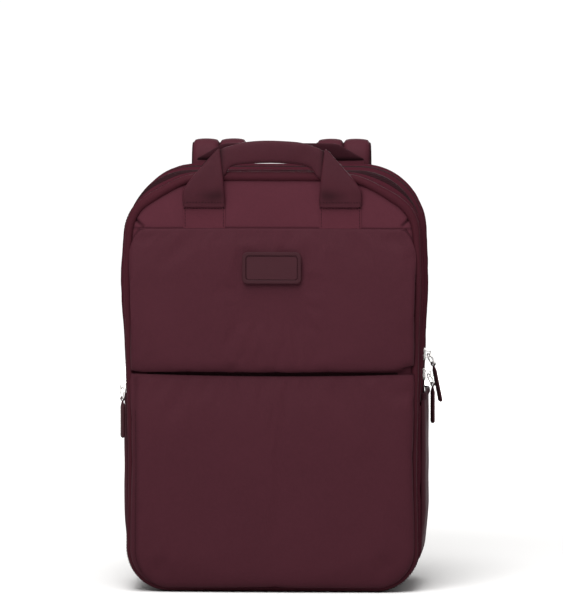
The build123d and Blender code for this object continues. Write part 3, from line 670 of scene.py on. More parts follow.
def swell(
    points: np.ndarray, faces: Sequence[Sequence[int]], held: np.ndarray, cap: float, pressure: float, grow: float
) -> np.ndarray:
    """Blows cloth up against its sewn lines with Blender's cloth solver.

    Args:
        points: the cloth's points in millimetres.
        faces: its faces.
        held: which points are sewn down.
        cap: the furthest that a point may move, in millimetres.
        pressure: the air pressure inside.
        grow: how much larger than its frame the cloth was cut.

    Returns:
        The points after the simulation.
    """
    start = np.asarray(points, float).reshape(-1, 3)
    mesh = bpy.data.meshes.new("swelling")
    mesh.from_pydata((start * MM).tolist(), [], [list(f) for f in faces])
    cloth = bpy.data.objects.new("swelling", mesh)
    bpy.context.scene.collection.objects.link(cloth)
    cloth.vertex_groups.new(name="sewn").add([int(i) for i in np.flatnonzero(held)], 1.0, "REPLACE")
    solver = cloth.modifiers.new("Cloth", "CLOTH")
    rules = solver.settings
    rules.quality, rules.mass = 6, 0.15
    rules.tension_stiffness = rules.compression_stiffness = 12
    rules.shear_stiffness, rules.bending_stiffness = 5, 0.4
    rules.effector_weights.gravity = 0
    rules.vertex_group_mass = "sewn"
    rules.shrink_min = -grow
    rules.use_pressure, rules.uniform_pressure_force = True, pressure
    solver.collision_settings.use_collision = False
    solver.collision_settings.use_self_collision = False
    for number in range(1, 21):
        bpy.context.scene.frame_set(number)
    shaped = cloth.evaluated_get(bpy.context.evaluated_depsgraph_get()).to_mesh()
    after = np.zeros(len(shaped.vertices) * 3)
    shaped.vertices.foreach_get("co", after)
    moved = after.reshape(-1, 3) / MM - start
    bpy.data.objects.remove(cloth)
    bpy.data.meshes.remove(mesh)
    bpy.context.scene.frame_set(1)
    length = np.linalg.norm(moved, axis=1, keepdims=True)
    moved *= np.minimum(1, cap / np.maximum(length, 1e-9))
    LOG.info("swelled %d points by up to %.1f mm", len(start), float(length.max()))
    return start + np.nan_to_num(moved)


def grid_faces(rows: int, columns: int) -> list[tuple[int, ...]]:
    """Returns the quads of a grid of points."""
    return [
        (i * columns + j, i * columns + j + 1, (i + 1) * columns + j + 1, (i + 1) * columns + j)
        for i in range(rows - 1)
        for j in range(columns - 1)
    ]


# ---- repeated details ---------------------------------------------------------------------------
class Bead(Enum):
    """The small shapes that are repeated along a line."""

    STITCH = "stitch"
    TOOTH = "tooth"


class Runs:
    """Geometry Nodes that repeat a bead along lines that carry their upward direction."""

    def __init__(self) -> None:
        """Builds one tree for each bead."""
        self.trees = {bead: self._tree(bead) for bead in Bead}

    def _tree(self, bead: Bead) -> bpy.types.NodeTree:
        """Returns the node tree that repeats one bead."""
        tree = bpy.data.node_groups.new(f"run_of_{bead.value}", "GeometryNodeTree")
        face = tree.interface
        face.new_socket("Lines", in_out="INPUT", socket_type="NodeSocketGeometry")
        for name, kind in (("Pitch", "Float"), ("Size", "Vector"), ("Seed", "Int"), ("Finish", "Material")):
            face.new_socket(name, in_out="INPUT", socket_type=f"NodeSocket{kind}")
        face.new_socket("Beads", in_out="OUTPUT", socket_type="NodeSocketGeometry")

        def add(kind: str, settings: dict | None = None, **links: object) -> bpy.types.Node:
            """Adds a node; a link is a socket or a value for the input of that name."""
            made = tree.nodes.new(kind)
            for key, value in (settings or {}).items():
                setattr(made, key, value)
            for key, value in links.items():
                socket = made.inputs[key.replace("_", " ")]
                if isinstance(value, bpy.types.NodeSocket):
                    tree.links.new(value, socket)
                else:
                    socket.default_value = value
            return made

        given = add("NodeGroupInput").outputs
        line = add("GeometryNodeMeshToCurve", Mesh=given["Lines"]).outputs[0]
        points = add("GeometryNodeResampleCurve", {"mode": "LENGTH"}, Curve=line, Length=given["Pitch"]).outputs[0]
        tangent = add("GeometryNodeInputTangent").outputs[0]
        up = add("GeometryNodeInputNamedAttribute", {"data_type": "FLOAT_VECTOR"}, Name="up").outputs[0]
        turned = add("FunctionNodeAlignRotationToVector", {"axis": "X"}, Vector=tangent).outputs[0]
        upright = add(
            "FunctionNodeAlignRotationToVector", {"axis": "Z", "pivot_axis": "X"}, Rotation=turned, Vector=up
        ).outputs[0]
        if bead is Bead.STITCH:
            shape = add("GeometryNodeMeshUVSphere", Segments=6, Rings=4, Radius=0.5).outputs[0]
        else:
            shape = add("GeometryNodeMeshCube", Size=(1, 1, 1)).outputs[0]
        vary = add("FunctionNodeRandomValue", {"data_type": "FLOAT"}, Seed=given["Seed"])
        low, high = [s for s in vary.inputs if s.type == "VALUE"][:2]
        low.default_value, high.default_value = 0.9, 1.08
        wide = add("ShaderNodeVectorMath", {"operation": "SCALE"})
        tree.links.new(given["Size"], wide.inputs[0])
        tree.links.new([s for s in vary.outputs if s.type == "VALUE"][0], wide.inputs["Scale"])
        laid = add(
            "GeometryNodeInstanceOnPoints", Points=points, Instance=shape, Rotation=upright, Scale=wide.outputs[0]
        ).outputs[0]
        real = add("GeometryNodeRealizeInstances", Geometry=laid).outputs[0]
        done = add("GeometryNodeSetMaterial", Geometry=real, Material=given["Finish"]).outputs[0]
        tree.links.new(done, add("NodeGroupOutput").inputs["Beads"])
        return tree

    def lay(
        self,
        name: str,
        lines: Sequence[tuple[np.ndarray, np.ndarray]],
        bead: Bead,
        pitch: float,
        size: tuple[float, float, float],
        finish: str,
    ) -> bpy.types.Object:
        """Repeats a bead along lines.

        Args:
            name: the piece's name.
            lines: pairs of the points of a line and the upward direction at each, in millimetres.
            bead: the shape.
            pitch: the distance between beads.
            size: the bead's length, width and height.
            finish: the name of its material.

        Returns:
            One plain mesh object.
        """
        mesh = bpy.data.meshes.new(name)
        points = np.vstack([line for line, _ in lines])
        edges, first = [], 0
        for line, _ in lines:
            edges += [(first + i, first + i + 1) for i in range(len(line) - 1)]
            first += len(line)
        mesh.from_pydata((points * MM).tolist(), edges, [])
        up = mesh.attributes.new("up", "FLOAT_VECTOR", "POINT")
        up.data.foreach_set("vector", np.vstack([np.broadcast_to(u, line.shape) for line, u in lines]).ravel())
        source = bpy.data.objects.new(f"{name}_lines", mesh)
        bpy.context.scene.collection.objects.link(source)
        maker = source.modifiers.new("Run", "NODES")
        maker.node_group = tree = self.trees[bead]
        sockets = {s.name: s.identifier for s in tree.interface.items_tree if s.in_out == "INPUT"}
        values = {"Pitch": pitch * MM, "Size": [c * MM for c in size], "Seed": 7, "Finish": MATERIALS[finish]}
        for key, value in values.items():
            maker[sockets[key]] = value
        graph = bpy.context.evaluated_depsgraph_get()
        plain = bpy.data.meshes.new_from_object(source.evaluated_get(graph))
        bpy.data.objects.remove(source)
        plain.name = name
        plain.shade_smooth()
        made = bpy.data.objects.new(name, plain)
        bpy.context.scene.collection.objects.link(made)
        return made

    def stitch(
        self,
        name: str,
        lines: Sequence[tuple[np.ndarray, np.ndarray]],
        pitch: float,
        size: tuple[float, float, float],
        body: str | tuple[str, str],
        slot: str,
        span: tuple[tuple[float, float, float], tuple[float, float, float]] | None = None,
    ) -> None:
        """Sews a seam of dark thread and hands it to the frame; lay() and settle() explain the arguments."""
        settle(self.lay(name, lines, Bead.STITCH, pitch, size, "thread_dark"), body, (), span)


def facing(line: Sequence[Sequence[float]], up: tuple[float, float, float]) -> tuple[np.ndarray, np.ndarray]:
    """Pairs a line with one upward direction."""
    points = np.array(line, float)
    return points, np.broadcast_to(np.array(up, float), points.shape)


# ---- sub-assemblies -----------------------------------------------------------------------------
@dataclass
class Shell:
    """The strips that run round the pack, with their zips and piping."""

    runs: Runs
    front_seam: float = -70.9
    front_zip: float = -45.0
    rear_zip: float = 25.0
    tape: float = 7.0
    rear_seam: float = 70.8
    zip_end: float = 182.0
    wall: float = 2.4

    def puff(self, s: Station, t: float) -> float:
        """Returns how far the gusset stands out, fuller on the upper sides, with soft creases."""
        across = math.sin(math.pi * t) ** 0.7 if 0 < t < 1 else 0.0
        side = math.exp(-(((s.z - 300) / 60) ** 2)) * abs(s.out_x)
        fold = math.exp(-(((s.z - 96 - 14 * t) / 6) ** 2)) * (s.out_x > 0.9)
        soft = 0.55 * lumps(s.x + 40 * t, s.along, s.z, 34) + 0.35 * lumps(s.x, s.along + 25 * t, s.z + 9, 13)
        stand = 0.7 + 2.4 * side + soft - 1.3 * fold
        return across * (stand * (1 - 1.0 * max(0.0, -s.out_z)) - 0.5 * max(0.0, -s.out_z))

    def build_gussets(self) -> None:
        """Builds the four gusset strips."""
        loop = PACK.stations(4.5)
        t = self.tape
        front = skin(slump(strip(loop, (self.front_seam, self.front_zip - t), self.wall, self.puff)), True)
        settle(
            piece("front_gusset_band", *front, "shell_twill"), ("pack", "front_flap"),
            ["front_gusset"], FOLD
        )
        base = [
            s for s in loop[len(loop) // 2 :] if s.z <= self.zip_end
        ] + [s for s in loop[: len(loop) // 2] if s.z <= self.zip_end]
        lower = skin(slump(strip(base, (self.front_zip - t, self.rear_seam), self.wall, self.puff)), False)
        settle(piece("base_gusset_band", *lower, "shell_twill"), "pack", ["lower_gusset"])
        arch = PACK.arch(4.5, self.zip_end)
        for name, node, span in (
            ("middle_gusset_band", "mid_gusset", (self.front_zip + t, self.rear_zip - t)),
            ("rear_gusset_band", "rear_gusset", (self.rear_zip + t, self.rear_seam)),
        ):
            band = skin(slump(strip(arch, span, self.wall, self.puff)), False)
            settle(piece(name, *band, "shell_twill"), "pack", [node])

    def tape_rings(self, stations: Sequence[Station], zip_y: float, side: int) -> np.ndarray:
        """Returns one half of a zip: a flat tape with a ridge over its teeth."""
        ridge = [(0.0, 0.3), (0.45, 0.9), (0.55, 1.8), (0.2, 2.8), (-0.1, 3.4), (-0.1, 6.2), (-0.5, 7.0)]
        section = [(out, zip_y + side * y) for out, y in ridge]
        section += [(-1.2, zip_y + side * y) for y in (7.0, 5.0, 2.8, 0.3)]
        return slump(np.array([ring_at(s, section) for s in stations]))

    def build_zips(self) -> None:
        """Builds the tapes and their teeth."""
        arch = PACK.arch(4.5, self.zip_end)
        front = skin(self.tape_rings(arch, self.front_zip, -1), False)
        settle(
            piece("front_zip_flap_tape", *front, "tape_weave"),
            ("pack", "front_flap"),
            ["front_zip_front_tape", "front_zip_end_tapes"],
            FOLD,
        )
        for name, node, zip_y, sides in (
            ("front_zip_pack_tape", "front_zip_rear_tape", self.front_zip, (1,)),
            ("rear_zip_tape_pair", "rear_zip_tapes", self.rear_zip, (-1, 1)),
        ):
            points, faces = np.zeros((0, 3)), []
            for side in sides:
                more, joins = skin(self.tape_rings(arch, zip_y, side), False)
                faces += [tuple(i + len(points) for i in f) for f in joins]
                points = np.vstack([points, more])
            settle(piece(name, points, faces, "tape_weave"), "pack", [node])
        for name, zip_y, sides, body in (
            ("front_zip_flap_teeth", self.front_zip, (-1,), ("pack", "front_flap")),
            ("front_zip_pack_teeth", self.front_zip, (1,), "pack"),
            ("rear_zip_teeth", self.rear_zip, (-1, 1), "pack"),
        ):
            lines = []
            for side in sides:
                spots = slump(np.array([s.at(-1.4, zip_y + side * 1.3) for s in arch]))
                lines.append((spots, np.array([(s.out_x, 0, s.out_z) for s in arch])))
            teeth = self.runs.lay(name, lines, Bead.TOOTH, 1.5, (0.8, 2.1, 1.4), "teeth_nylon")
            settle(teeth, body, (), FOLD)

    def build_piping(self) -> None:
        """Builds the thick front welt and the thinner rear one, with their stitches."""
        loop = PACK.stations(3.0)

        def front_radius(s: Station) -> float:
            """The front welt is fullest along the top."""
            return 3.5 + 1.2 * max(0.0, s.out_z) ** 0.5 + 0.22 * lumps(s.x, s.along, s.z, 17)

        front = skin(slump(rope(loop, -75.0, 4.1, front_radius)), True)
        settle(
            piece("front_welt", *front, "piping_twill"),
            ("pack", "front_flap"),
            ["front_piping_lower", "front_piping_upper"],
            FOLD,
        )
        rear = skin(rope(loop, 73.9, 3.0, lambda s: 3.0 + 0.12 * lumps(s.x, s.along, s.z, 15)), True)
        settle(piece("rear_welt", *rear, "piping_twill"), "pack", ["rear_piping"])
        lines = [
            (
                slump(np.array([s.at(0.3 + self.puff(s, 0.12), -68.4) for s in loop])),
                np.array([(s.out_x, 0, s.out_z) for s in loop])
            )
        ]
        self.runs.stitch(
            "front_gusset_stitches", lines, 3.0, (2.2, 0.5, 0.4), ("pack", "front_flap"), "piping", FOLD
        )

    def build(self) -> None:
        """Builds the whole shell."""
        self.build_gussets()
        self.build_zips()
        self.build_piping()


@dataclass
class Front:
    """The front panel, its two pockets, the badge's stitches and the handle's sewn ends."""

    runs: Runs
    seam_y: float = -77.2
    pocket_half: float = 134.5
    mouth_z: float = 359.0
    slit_z: float = 217.2
    wall: float = 1.6
    lower_inset: float = 8.6
    creases: tuple[tuple[float, float, float, float], ...] = (
        (-141.0, 376.0, -127.0, 361.0),
        (-132.0, 376.5, -140.5, 362.0),
        (141.0, 378.0, 127.5, 362.5),
        (131.0, 380.0, 140.5, 364.0),
        (-112.0, 400.5, -101.0, 404.5),
        (112.0, 399.5, 121.5, 394.0),
    )

    def crease(self, x: float, z: float) -> float:
        """Returns how near a point is to a crease, from 0 to 1."""
        best = 0.0
        for ax, az, bx, bz in self.creases:
            dx, dz = bx - ax, bz - az
            t = min(1.0, max(0.0, ((x - ax) * dx + (z - az) * dz) / (dx * dx + dz * dz)))
            near = math.hypot(x - ax - dx * t, z - az - dz * t)
            best = max(best, math.exp(-((near / 1.5) ** 2)) * (0.55 + 0.45 * math.sin(math.pi * t)))
        return best

    def panel_y(self, x: float, z: float) -> float:
        """Returns the front panel's face."""
        inside = max(0.0, PACK.margin(x, z, 7.2))
        rise = 1.9 * (1 - math.exp(-inside / 9))
        return -75.9 - rise - 0.25 * lumps(x, 0, z, 40) + 1.9 * self.crease(x, z)

    def build_panel(self) -> None:
        """Builds the panel behind the pockets."""
        heights = np.concatenate([np.arange(7.4, 350, 4.0), np.arange(350, 406.8, 1.6)])
        shares = np.sin(np.linspace(-1, 1, 141) * math.pi / 2 * 0.98) / math.sin(math.pi / 2 * 0.98)
        front, dark = [], []
        for z in heights:
            reach = PACK.reach(float(z), 7.2)
            row = [(reach * t, self.panel_y(reach * t, float(z)), float(z)) for t in shares]
            front.append(row)
            dark.append([self.shadow(x, z_) for x, _, z_ in row])
        grid = slump(np.array(front))
        back = grid.copy()
        back[..., 1] = -74.2
        points, faces = slab(grid, back)
        panel = piece(
            "front_panel", points, faces, "panel_twill_painted_top_light",
            np.concatenate([np.ravel(dark), np.zeros(len(points) // 2)])
        )
        settle(panel, ("pack", "front_flap"), ["front_upper_panel", "front_lower_panel"], FOLD)

    def shadow(self, x: float, z: float) -> float:
        """Returns the painted shade on the panel: along its seam, in its creases and just above the pocket."""
        edge = math.exp(-max(0.0, PACK.margin(x, z, 7.2)) / 0.9)
        hem = math.exp(-(((z - self.mouth_z) / 1.2) ** 2)) * 0.5
        return min(1.0, 0.9 * edge + 0.8 * self.crease(x, z) + hem)

    def side_bulge(self, share: float, half: float, bulge: float) -> tuple[float, float]:
        """Returns x and the share of the depth for a share across from -1 to 1; the sides roll outward."""
        side = 1 if share > 0 else -1
        a = abs(share)
        knots = [0.0, 0.80, 0.88, 0.93, 0.965, 0.985, 1.0]
        reach = np.interp(
            a, knots, [0, half - 15, half - 5, half + bulge - 1.5, half + bulge, half + bulge * 0.6, half]
        )
        depth = np.interp(a, knots, [1, 1, 0.965, 0.82, 0.55, 0.25, 0.0])
        return side * float(reach), float(depth)

    def upper_rows(self) -> list[tuple[float, float, float]]:
        """Returns (height, share of the depth, how far the row follows the slanting lower edge)."""
        under = [(1.6, 0.0, 1), (0.3, 0.18, 1), (-0.6, 0.42, 1), (-0.3, 0.66, 1), (1.4, 0.84, 1), (4.4, 0.95, 1)]
        rows = [(self.slit_z + dz, d, f) for dz, d, f in under]
        for z in np.linspace(self.slit_z + 8.5, self.mouth_z - 0.6, 46):
            t = (z - self.slit_z) / (self.mouth_z - self.slit_z)
            rows.append(
                (
                    float(z), float(np.interp(t, [0, 0.1, 0.35, 0.7, 0.88, 1], [1, 1.0, 0.93, 0.72, 0.48, 0.24])),
                    max(0.0, 1 - 2 * t)
                )
            )
        rows += [
            (self.mouth_z, 0.19, 0), (self.mouth_z - 0.4, 0.12, 0), (self.mouth_z - 3.0, 0.10, 0),
            (self.mouth_z - 9.0, 0.09, 0)
        ]
        return rows

    def slant(self, x: float) -> float:
        """Returns how far the upper pocket's lower edge lies above its lowest point."""
        right = 3.2 * (x / 134) ** 2 if x > 0 else 0.8 * (x / 134) ** 2
        return right + 4.5 * float(step(x, 118, 140)) + 1.5 * float(step(-x, 126, 140))

    def upper_grid(self) -> np.ndarray:
        """Returns the upper pocket's outer face before it swells."""
        shares = np.linspace(-1, 1, 111)
        grid = []
        for z, depth, follow in self.upper_rows():
            top = max(0.0, (z - (self.mouth_z - 26)) / 26)
            half = self.pocket_half - 5.0 * top**2.2
            bulge = 5.0 * (1 - top**1.5)
            row = []
            for share in shares:
                x, across = self.side_bulge(float(share), half, bulge)
                deep = 11.6 * depth * across
                soft = 0.30 * lumps(x, 3, z, 46) + 0.14 * lumps(x, 9, z, 15)
                row.append((x, self.seam_y + 0.6 - deep - soft * across, z + self.slant(x) * follow))
            grid.append(row)
        return np.array(grid)

    def build_upper_pocket(self) -> None:
        """Builds the puffed upper pocket."""
        grid = self.upper_grid()
        rows, columns, _ = grid.shape
        held = np.zeros((rows, columns), bool)
        held[0], held[:, 0], held[:, -1] = True, True, True
        held[-6:] = True
        held[20:34, 43:68] = True
        swollen = slump(swell(grid, grid_faces(rows, columns), held.ravel(), 1.6, 0.35, 0.006).reshape(grid.shape))
        # painted shade: darker along the lower edge under the overhang, at the sides where the cloth sinks into the
        # seam, and at the tucked mouth
        dark = np.zeros((rows, columns))
        dark[0:3] = [[0.9], [0.7], [0.4]]
        dark[:, 0] = dark[:, -1] = 0.8
        dark[-4:] = 0.3
        points, faces = thickened(swollen, self.wall)
        pocket = piece("upper_pocket_cloth", points, faces, "pocket_twill", np.concatenate([dark.ravel()] * 2), 70)
        settle(pocket, "front_flap", ["upper_pocket"])

    def lower_rows(self) -> list[tuple[float, float]]:
        """Returns (height, share of the depth) from the base up, with the top rolled back into the slit."""
        rows = [(self.lower_inset + d, 1.0) for d in (0, 0.7, 1.4, 2.2, 3.4, 5.2, 7.6, 10.6, 14.5)]
        rows += [(float(z), 1.0) for z in np.linspace(27, 160, 40)]
        rows += [
            (166.0, 0.99), (172.0, 0.97), (178.0, 0.95), (184.0, 0.92), (190.0, 0.87), (195.0, 0.82), (200.0, 0.79)
        ]
        rows += [(204.0, 0.77), (207.0, 0.745), (209.4, 0.72), (211.2, 0.70), (212.5, 0.68), (213.2, 0.66)]
        return rows

    def lower_grid(self) -> np.ndarray:
        """Returns the lower pocket's outer face before it swells; its edge rolls out over the welt."""
        inset = self.lower_inset
        edge = np.array([0, 0.7, 1.4, 2.2, 3.4, 5.2, 7.6, 10.6, 14.5])
        reach = 100 * np.tanh(np.linspace(0, 1, 48)[1:] * 1.1) / math.tanh(1.1)
        grid = []
        for z, depth in self.lower_rows():
            half = PACK.reach(z, inset)
            core = half - edge[-1]
            row = []
            shares = np.concatenate([half - edge, core * (1 - reach / 100)])
            for x in np.concatenate([-shares, shares[:-1][::-1]]):
                inside = max(0.0, PACK.margin(x, z, inset))
                roll = float(
                    np.interp(inside, edge, [0, 3.6, 5.6, 6.3, 5.6, 3.9, 2.2, 1.0, 0])
                ) * min(1.0, depth * 1.3)
                rise = float(np.interp(inside, edge, [0, 0.14, 0.34, 0.54, 0.74, 0.88, 0.95, 0.99, 1]))
                out_x, out_z = PACK.outward(x, z, inset)
                belly = 0.94 + 0.06 * math.sin(math.pi * min(1.0, z / 210))
                soft = 0.35 * lumps(x, 5, z, 55) + 0.15 * lumps(x, 11, z, 16)
                drag = 0.9 * math.exp(
                    -(((abs(x) - 112 + (z - 20) * 0.5) / 7) ** 2)
                ) * math.exp(-(((z - 30) / 26) ** 2))
                deep = 10.8 * depth * rise * belly
                lift = 2.2 * max(0.0, (z - 190) / 21) * (x / 134) ** 2
                row.append(
                    (x + out_x * roll, self.seam_y + 0.5 - deep - (soft - drag) * rise, z + out_z * roll + lift)
                )
            grid.append(row)
        return np.array(grid)

    def build_lower_pocket(self) -> None:
        """Builds the lower pocket with its side stitches; build_pocket_zip() builds its zip in the slit."""
        grid = self.lower_grid()
        rows, columns, _ = grid.shape
        held = np.zeros((rows, columns), bool)
        held[0], held[-1], held[:, 0], held[:, -1] = True, True, True, True
        swollen = swell(grid, grid_faces(rows, columns), held.ravel(), 1.4, 0.3, 0.005).reshape(grid.shape)
        swollen = slump(swollen)
        swollen[:, 5, 1] += 0.3
        # painted shade: darker at the sewn sides, in the stitch groove and along the top that rolls into the slit;
        # the inner face near the top sits in the slit and is darkest
        dark = np.zeros((rows, columns))
        dark[:, 0] = dark[:, -1] = 0.8
        dark[:, 5] = 0.25
        dark[-3:] = [[0.05], [0.15], [0.45]]
        inner = dark.copy()
        inner[-14:] = 0.9
        points, faces = thickened(swollen, self.wall)
        pocket = piece(
            "lower_pocket_cloth", points, faces, "pocket_twill", np.concatenate([dark.ravel(), inner.ravel()]), 70
        )
        settle(pocket, "pack", ["lower_pocket"])
        line = swollen[8:52, 5] + (-0.15, -0.2, 0)
        self.runs.stitch(
            "lower_pocket_stitches", [facing(line, (0, -1, 0))], 3.2, (2.3, 0.55, 0.45), "pack", "pocket_fabric"
        )

    def build_pocket_zip(self) -> None:
        """Builds the lower pocket's zip, in the slit."""
        points, faces = np.zeros((0, 3)), []
        for low, high in ((207.5, 211.9), (212.5, 216.9)):
            across = np.linspace(-123.5, 123.5, 60)
            heights = np.linspace(low, high, 5)
            front = np.array([[(x, -78.1 - 0.15 * lumps(x, 0, z, 12), z) for x in across] for z in heights])
            back = front.copy()
            back[..., 1] = -77.1
            more, joins = slab(front, back)
            faces += [tuple(i + len(points) for i in f) for f in joins]
            points = np.vstack([points, more])
        settle(piece("pocket_zip_tape_pair", points, faces, "tape_weave"), "pack", ["pocket_zip_tapes"])
        lines = [facing([(-121, -78.4, z), (121, -78.4, z)], (0, -1, 0)) for z in (211.3, 213.1)]
        teeth = self.runs.lay("pocket_zip_teeth", lines, Bead.TOOTH, 1.5, (0.8, 1.3, 0.7), "teeth_nylon")
        settle(teeth, "pack")

    def build_handle_tabs(self) -> None:
        """Builds the webbing that the front handle is sewn down with."""
        points, faces = np.zeros((0, 3)), []
        for _, side in SIDES:
            rows = []
            for z in np.linspace(345.5, 380.0, 22):
                across = np.linspace(46.4, 87.6, 20)
                rows.append(
                    [(side * x, self.panel_y(side * x, z) - 0.9 - 0.10 * lumps(x, 1, z, 9), z) for x in across]
                )
            front = np.array(rows)
            more, joins = slab(front, front + (0, 1.1, 0))
            faces += [tuple(i + len(points) for i in f) for f in joins]
            points = np.vstack([points, more])
        settle(
            piece("front_handle_patches", points, faces, "patch_weave"), "front_flap",
            ["front_handle_tabs"]
        )
        lines = []
        for _, side in SIDES:
            for x in (48.2, 85.8):
                heights = np.linspace(352, 379, 12)
                lines.append(facing([(side * x, self.panel_y(side * x, z) - 1.25, z) for z in heights], (0, -1, 0)))
            across = np.linspace(47.5, 86.5, 16)
            lines.append(
                facing([(side * x, self.panel_y(side * x, 378.2) - 1.25, 378.2) for x in across], (0, -1, 0))
            )
        self.runs.stitch("front_patch_stitches", lines, 2.9, (2.1, 0.6, 0.5), "front_flap", "handle_webbing")

    def build_badge(self) -> None:
        """Sews the blank badge down."""
        low, high = (np.array(corner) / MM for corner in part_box("badge_plate"))
        edge = []
        half_x, half_z, radius = (high[0] - low[0]) / 2 - 0.5, (high[2] - low[2]) / 2 - 0.5, 2.4
        middle = (low[2] + high[2]) / 2
        for cx, cz, start in ((1, 1, 0), (-1, 1, 90), (-1, -1, 180), (1, -1, 270)):
            for k in range(7):
                a = math.radians(start + 15 * k)
                x = cx * (half_x - radius) + radius * math.cos(a)
                edge.append((x, low[1] - 0.05, middle + cz * (half_z - radius) + radius * math.sin(a)))
        edge.append(edge[0])
        self.runs.stitch("badge_stitches", [facing(edge, (0, -1, 0))], 2.1, (1.6, 0.95, 0.6), "front_flap", "badge")

    def build(self) -> None:
        """Builds everything on the front face."""
        self.build_panel()
        self.build_upper_pocket()
        self.build_lower_pocket()
        self.build_pocket_zip()
        self.build_handle_tabs()
        self.build_badge()


def loft(
    outer: Sequence[tuple[float, ...]], inner: Sequence[tuple[float, ...]], thickness: Callable[[float], float],
    count: int, square: float
) -> np.ndarray:
    """Returns rings between two edge lines.

    Args:
        outer: corners of one edge, as x, y, z.
        inner: corners of the other edge.
        thickness: the thickness for a share along from 0 to 1.
        count: the number of rings.
        square: 1 for an oval section and smaller for a flatter one.

    Returns:
        Rings by section points by 3.
    """
    a, b = smooth_line(outer, count), smooth_line(inner, count)
    middle, arm = (a + b) / 2, (a - b) / 2
    along = np.gradient(middle, axis=0)
    normal = np.cross(along, arm)
    normal /= np.maximum(np.linalg.norm(normal, axis=1, keepdims=True), 1e-9)
    normal *= np.where(normal[:, 1:2] > 0, -1.0, 1.0)
    rings = []
    for i in range(count):
        half = thickness(i / (count - 1)) / 2
        row = []
        for k in range(22):
            angle = math.tau * k / 22
            c, s = math.cos(angle), math.sin(angle)
            wide = math.copysign(abs(c) ** square, c)
            row.append(middle[i] + arm[i] * wide + normal[i] * half * math.copysign(abs(s) ** (square * 1.2), s))
        rings.append(row)
    return np.array(rings)


def ribbon(
    line: np.ndarray, width: Sequence[float] | float, thickness: float, across: tuple[float, float, float]
) -> np.ndarray:
    """Returns the rings of a flat ribbon that follows a line.

    Args:
        line: the ribbon's middle line.
        width: its width, or one for each point.
        thickness: its thickness.
        across: the direction of its width.

    Returns:
        Rings by section points by 3.
    """
    side = np.array(across, float)
    side /= np.linalg.norm(side)
    along = np.gradient(line, axis=0)
    along /= np.linalg.norm(along, axis=1, keepdims=True)
    up = np.cross(along, side)
    up /= np.maximum(np.linalg.norm(up, axis=1, keepdims=True), 1e-9)
    widths = np.broadcast_to(np.asarray(width, float), (len(line),))
    shares = [-1, -0.96, -0.6, -0.2, 0.2, 0.6, 0.96, 1]
    section = [(s, 0.35 if abs(s) == 1 else 1.0) for s in shares] + [
        (s, -0.35 if abs(s) == 1 else -1.0) for s in reversed(shares)
    ]
    return np.array(
        [[p + side * w / 2 * s + u * thickness / 2 * t for s, t in section] for p, u, w in zip(line, up, widths)]
    )


def merged(parts: Sequence[tuple[np.ndarray, list[tuple[int, ...]]]]) -> tuple[np.ndarray, list[tuple[int, ...]]]:
    """Puts several meshes into one."""
    points, faces = np.zeros((0, 3)), []
    for more, joins in parts:
        faces += [tuple(i + len(points) for i in f) for f in joins]
        points = np.vstack([points, more.reshape(-1, 3)])
    return points, faces


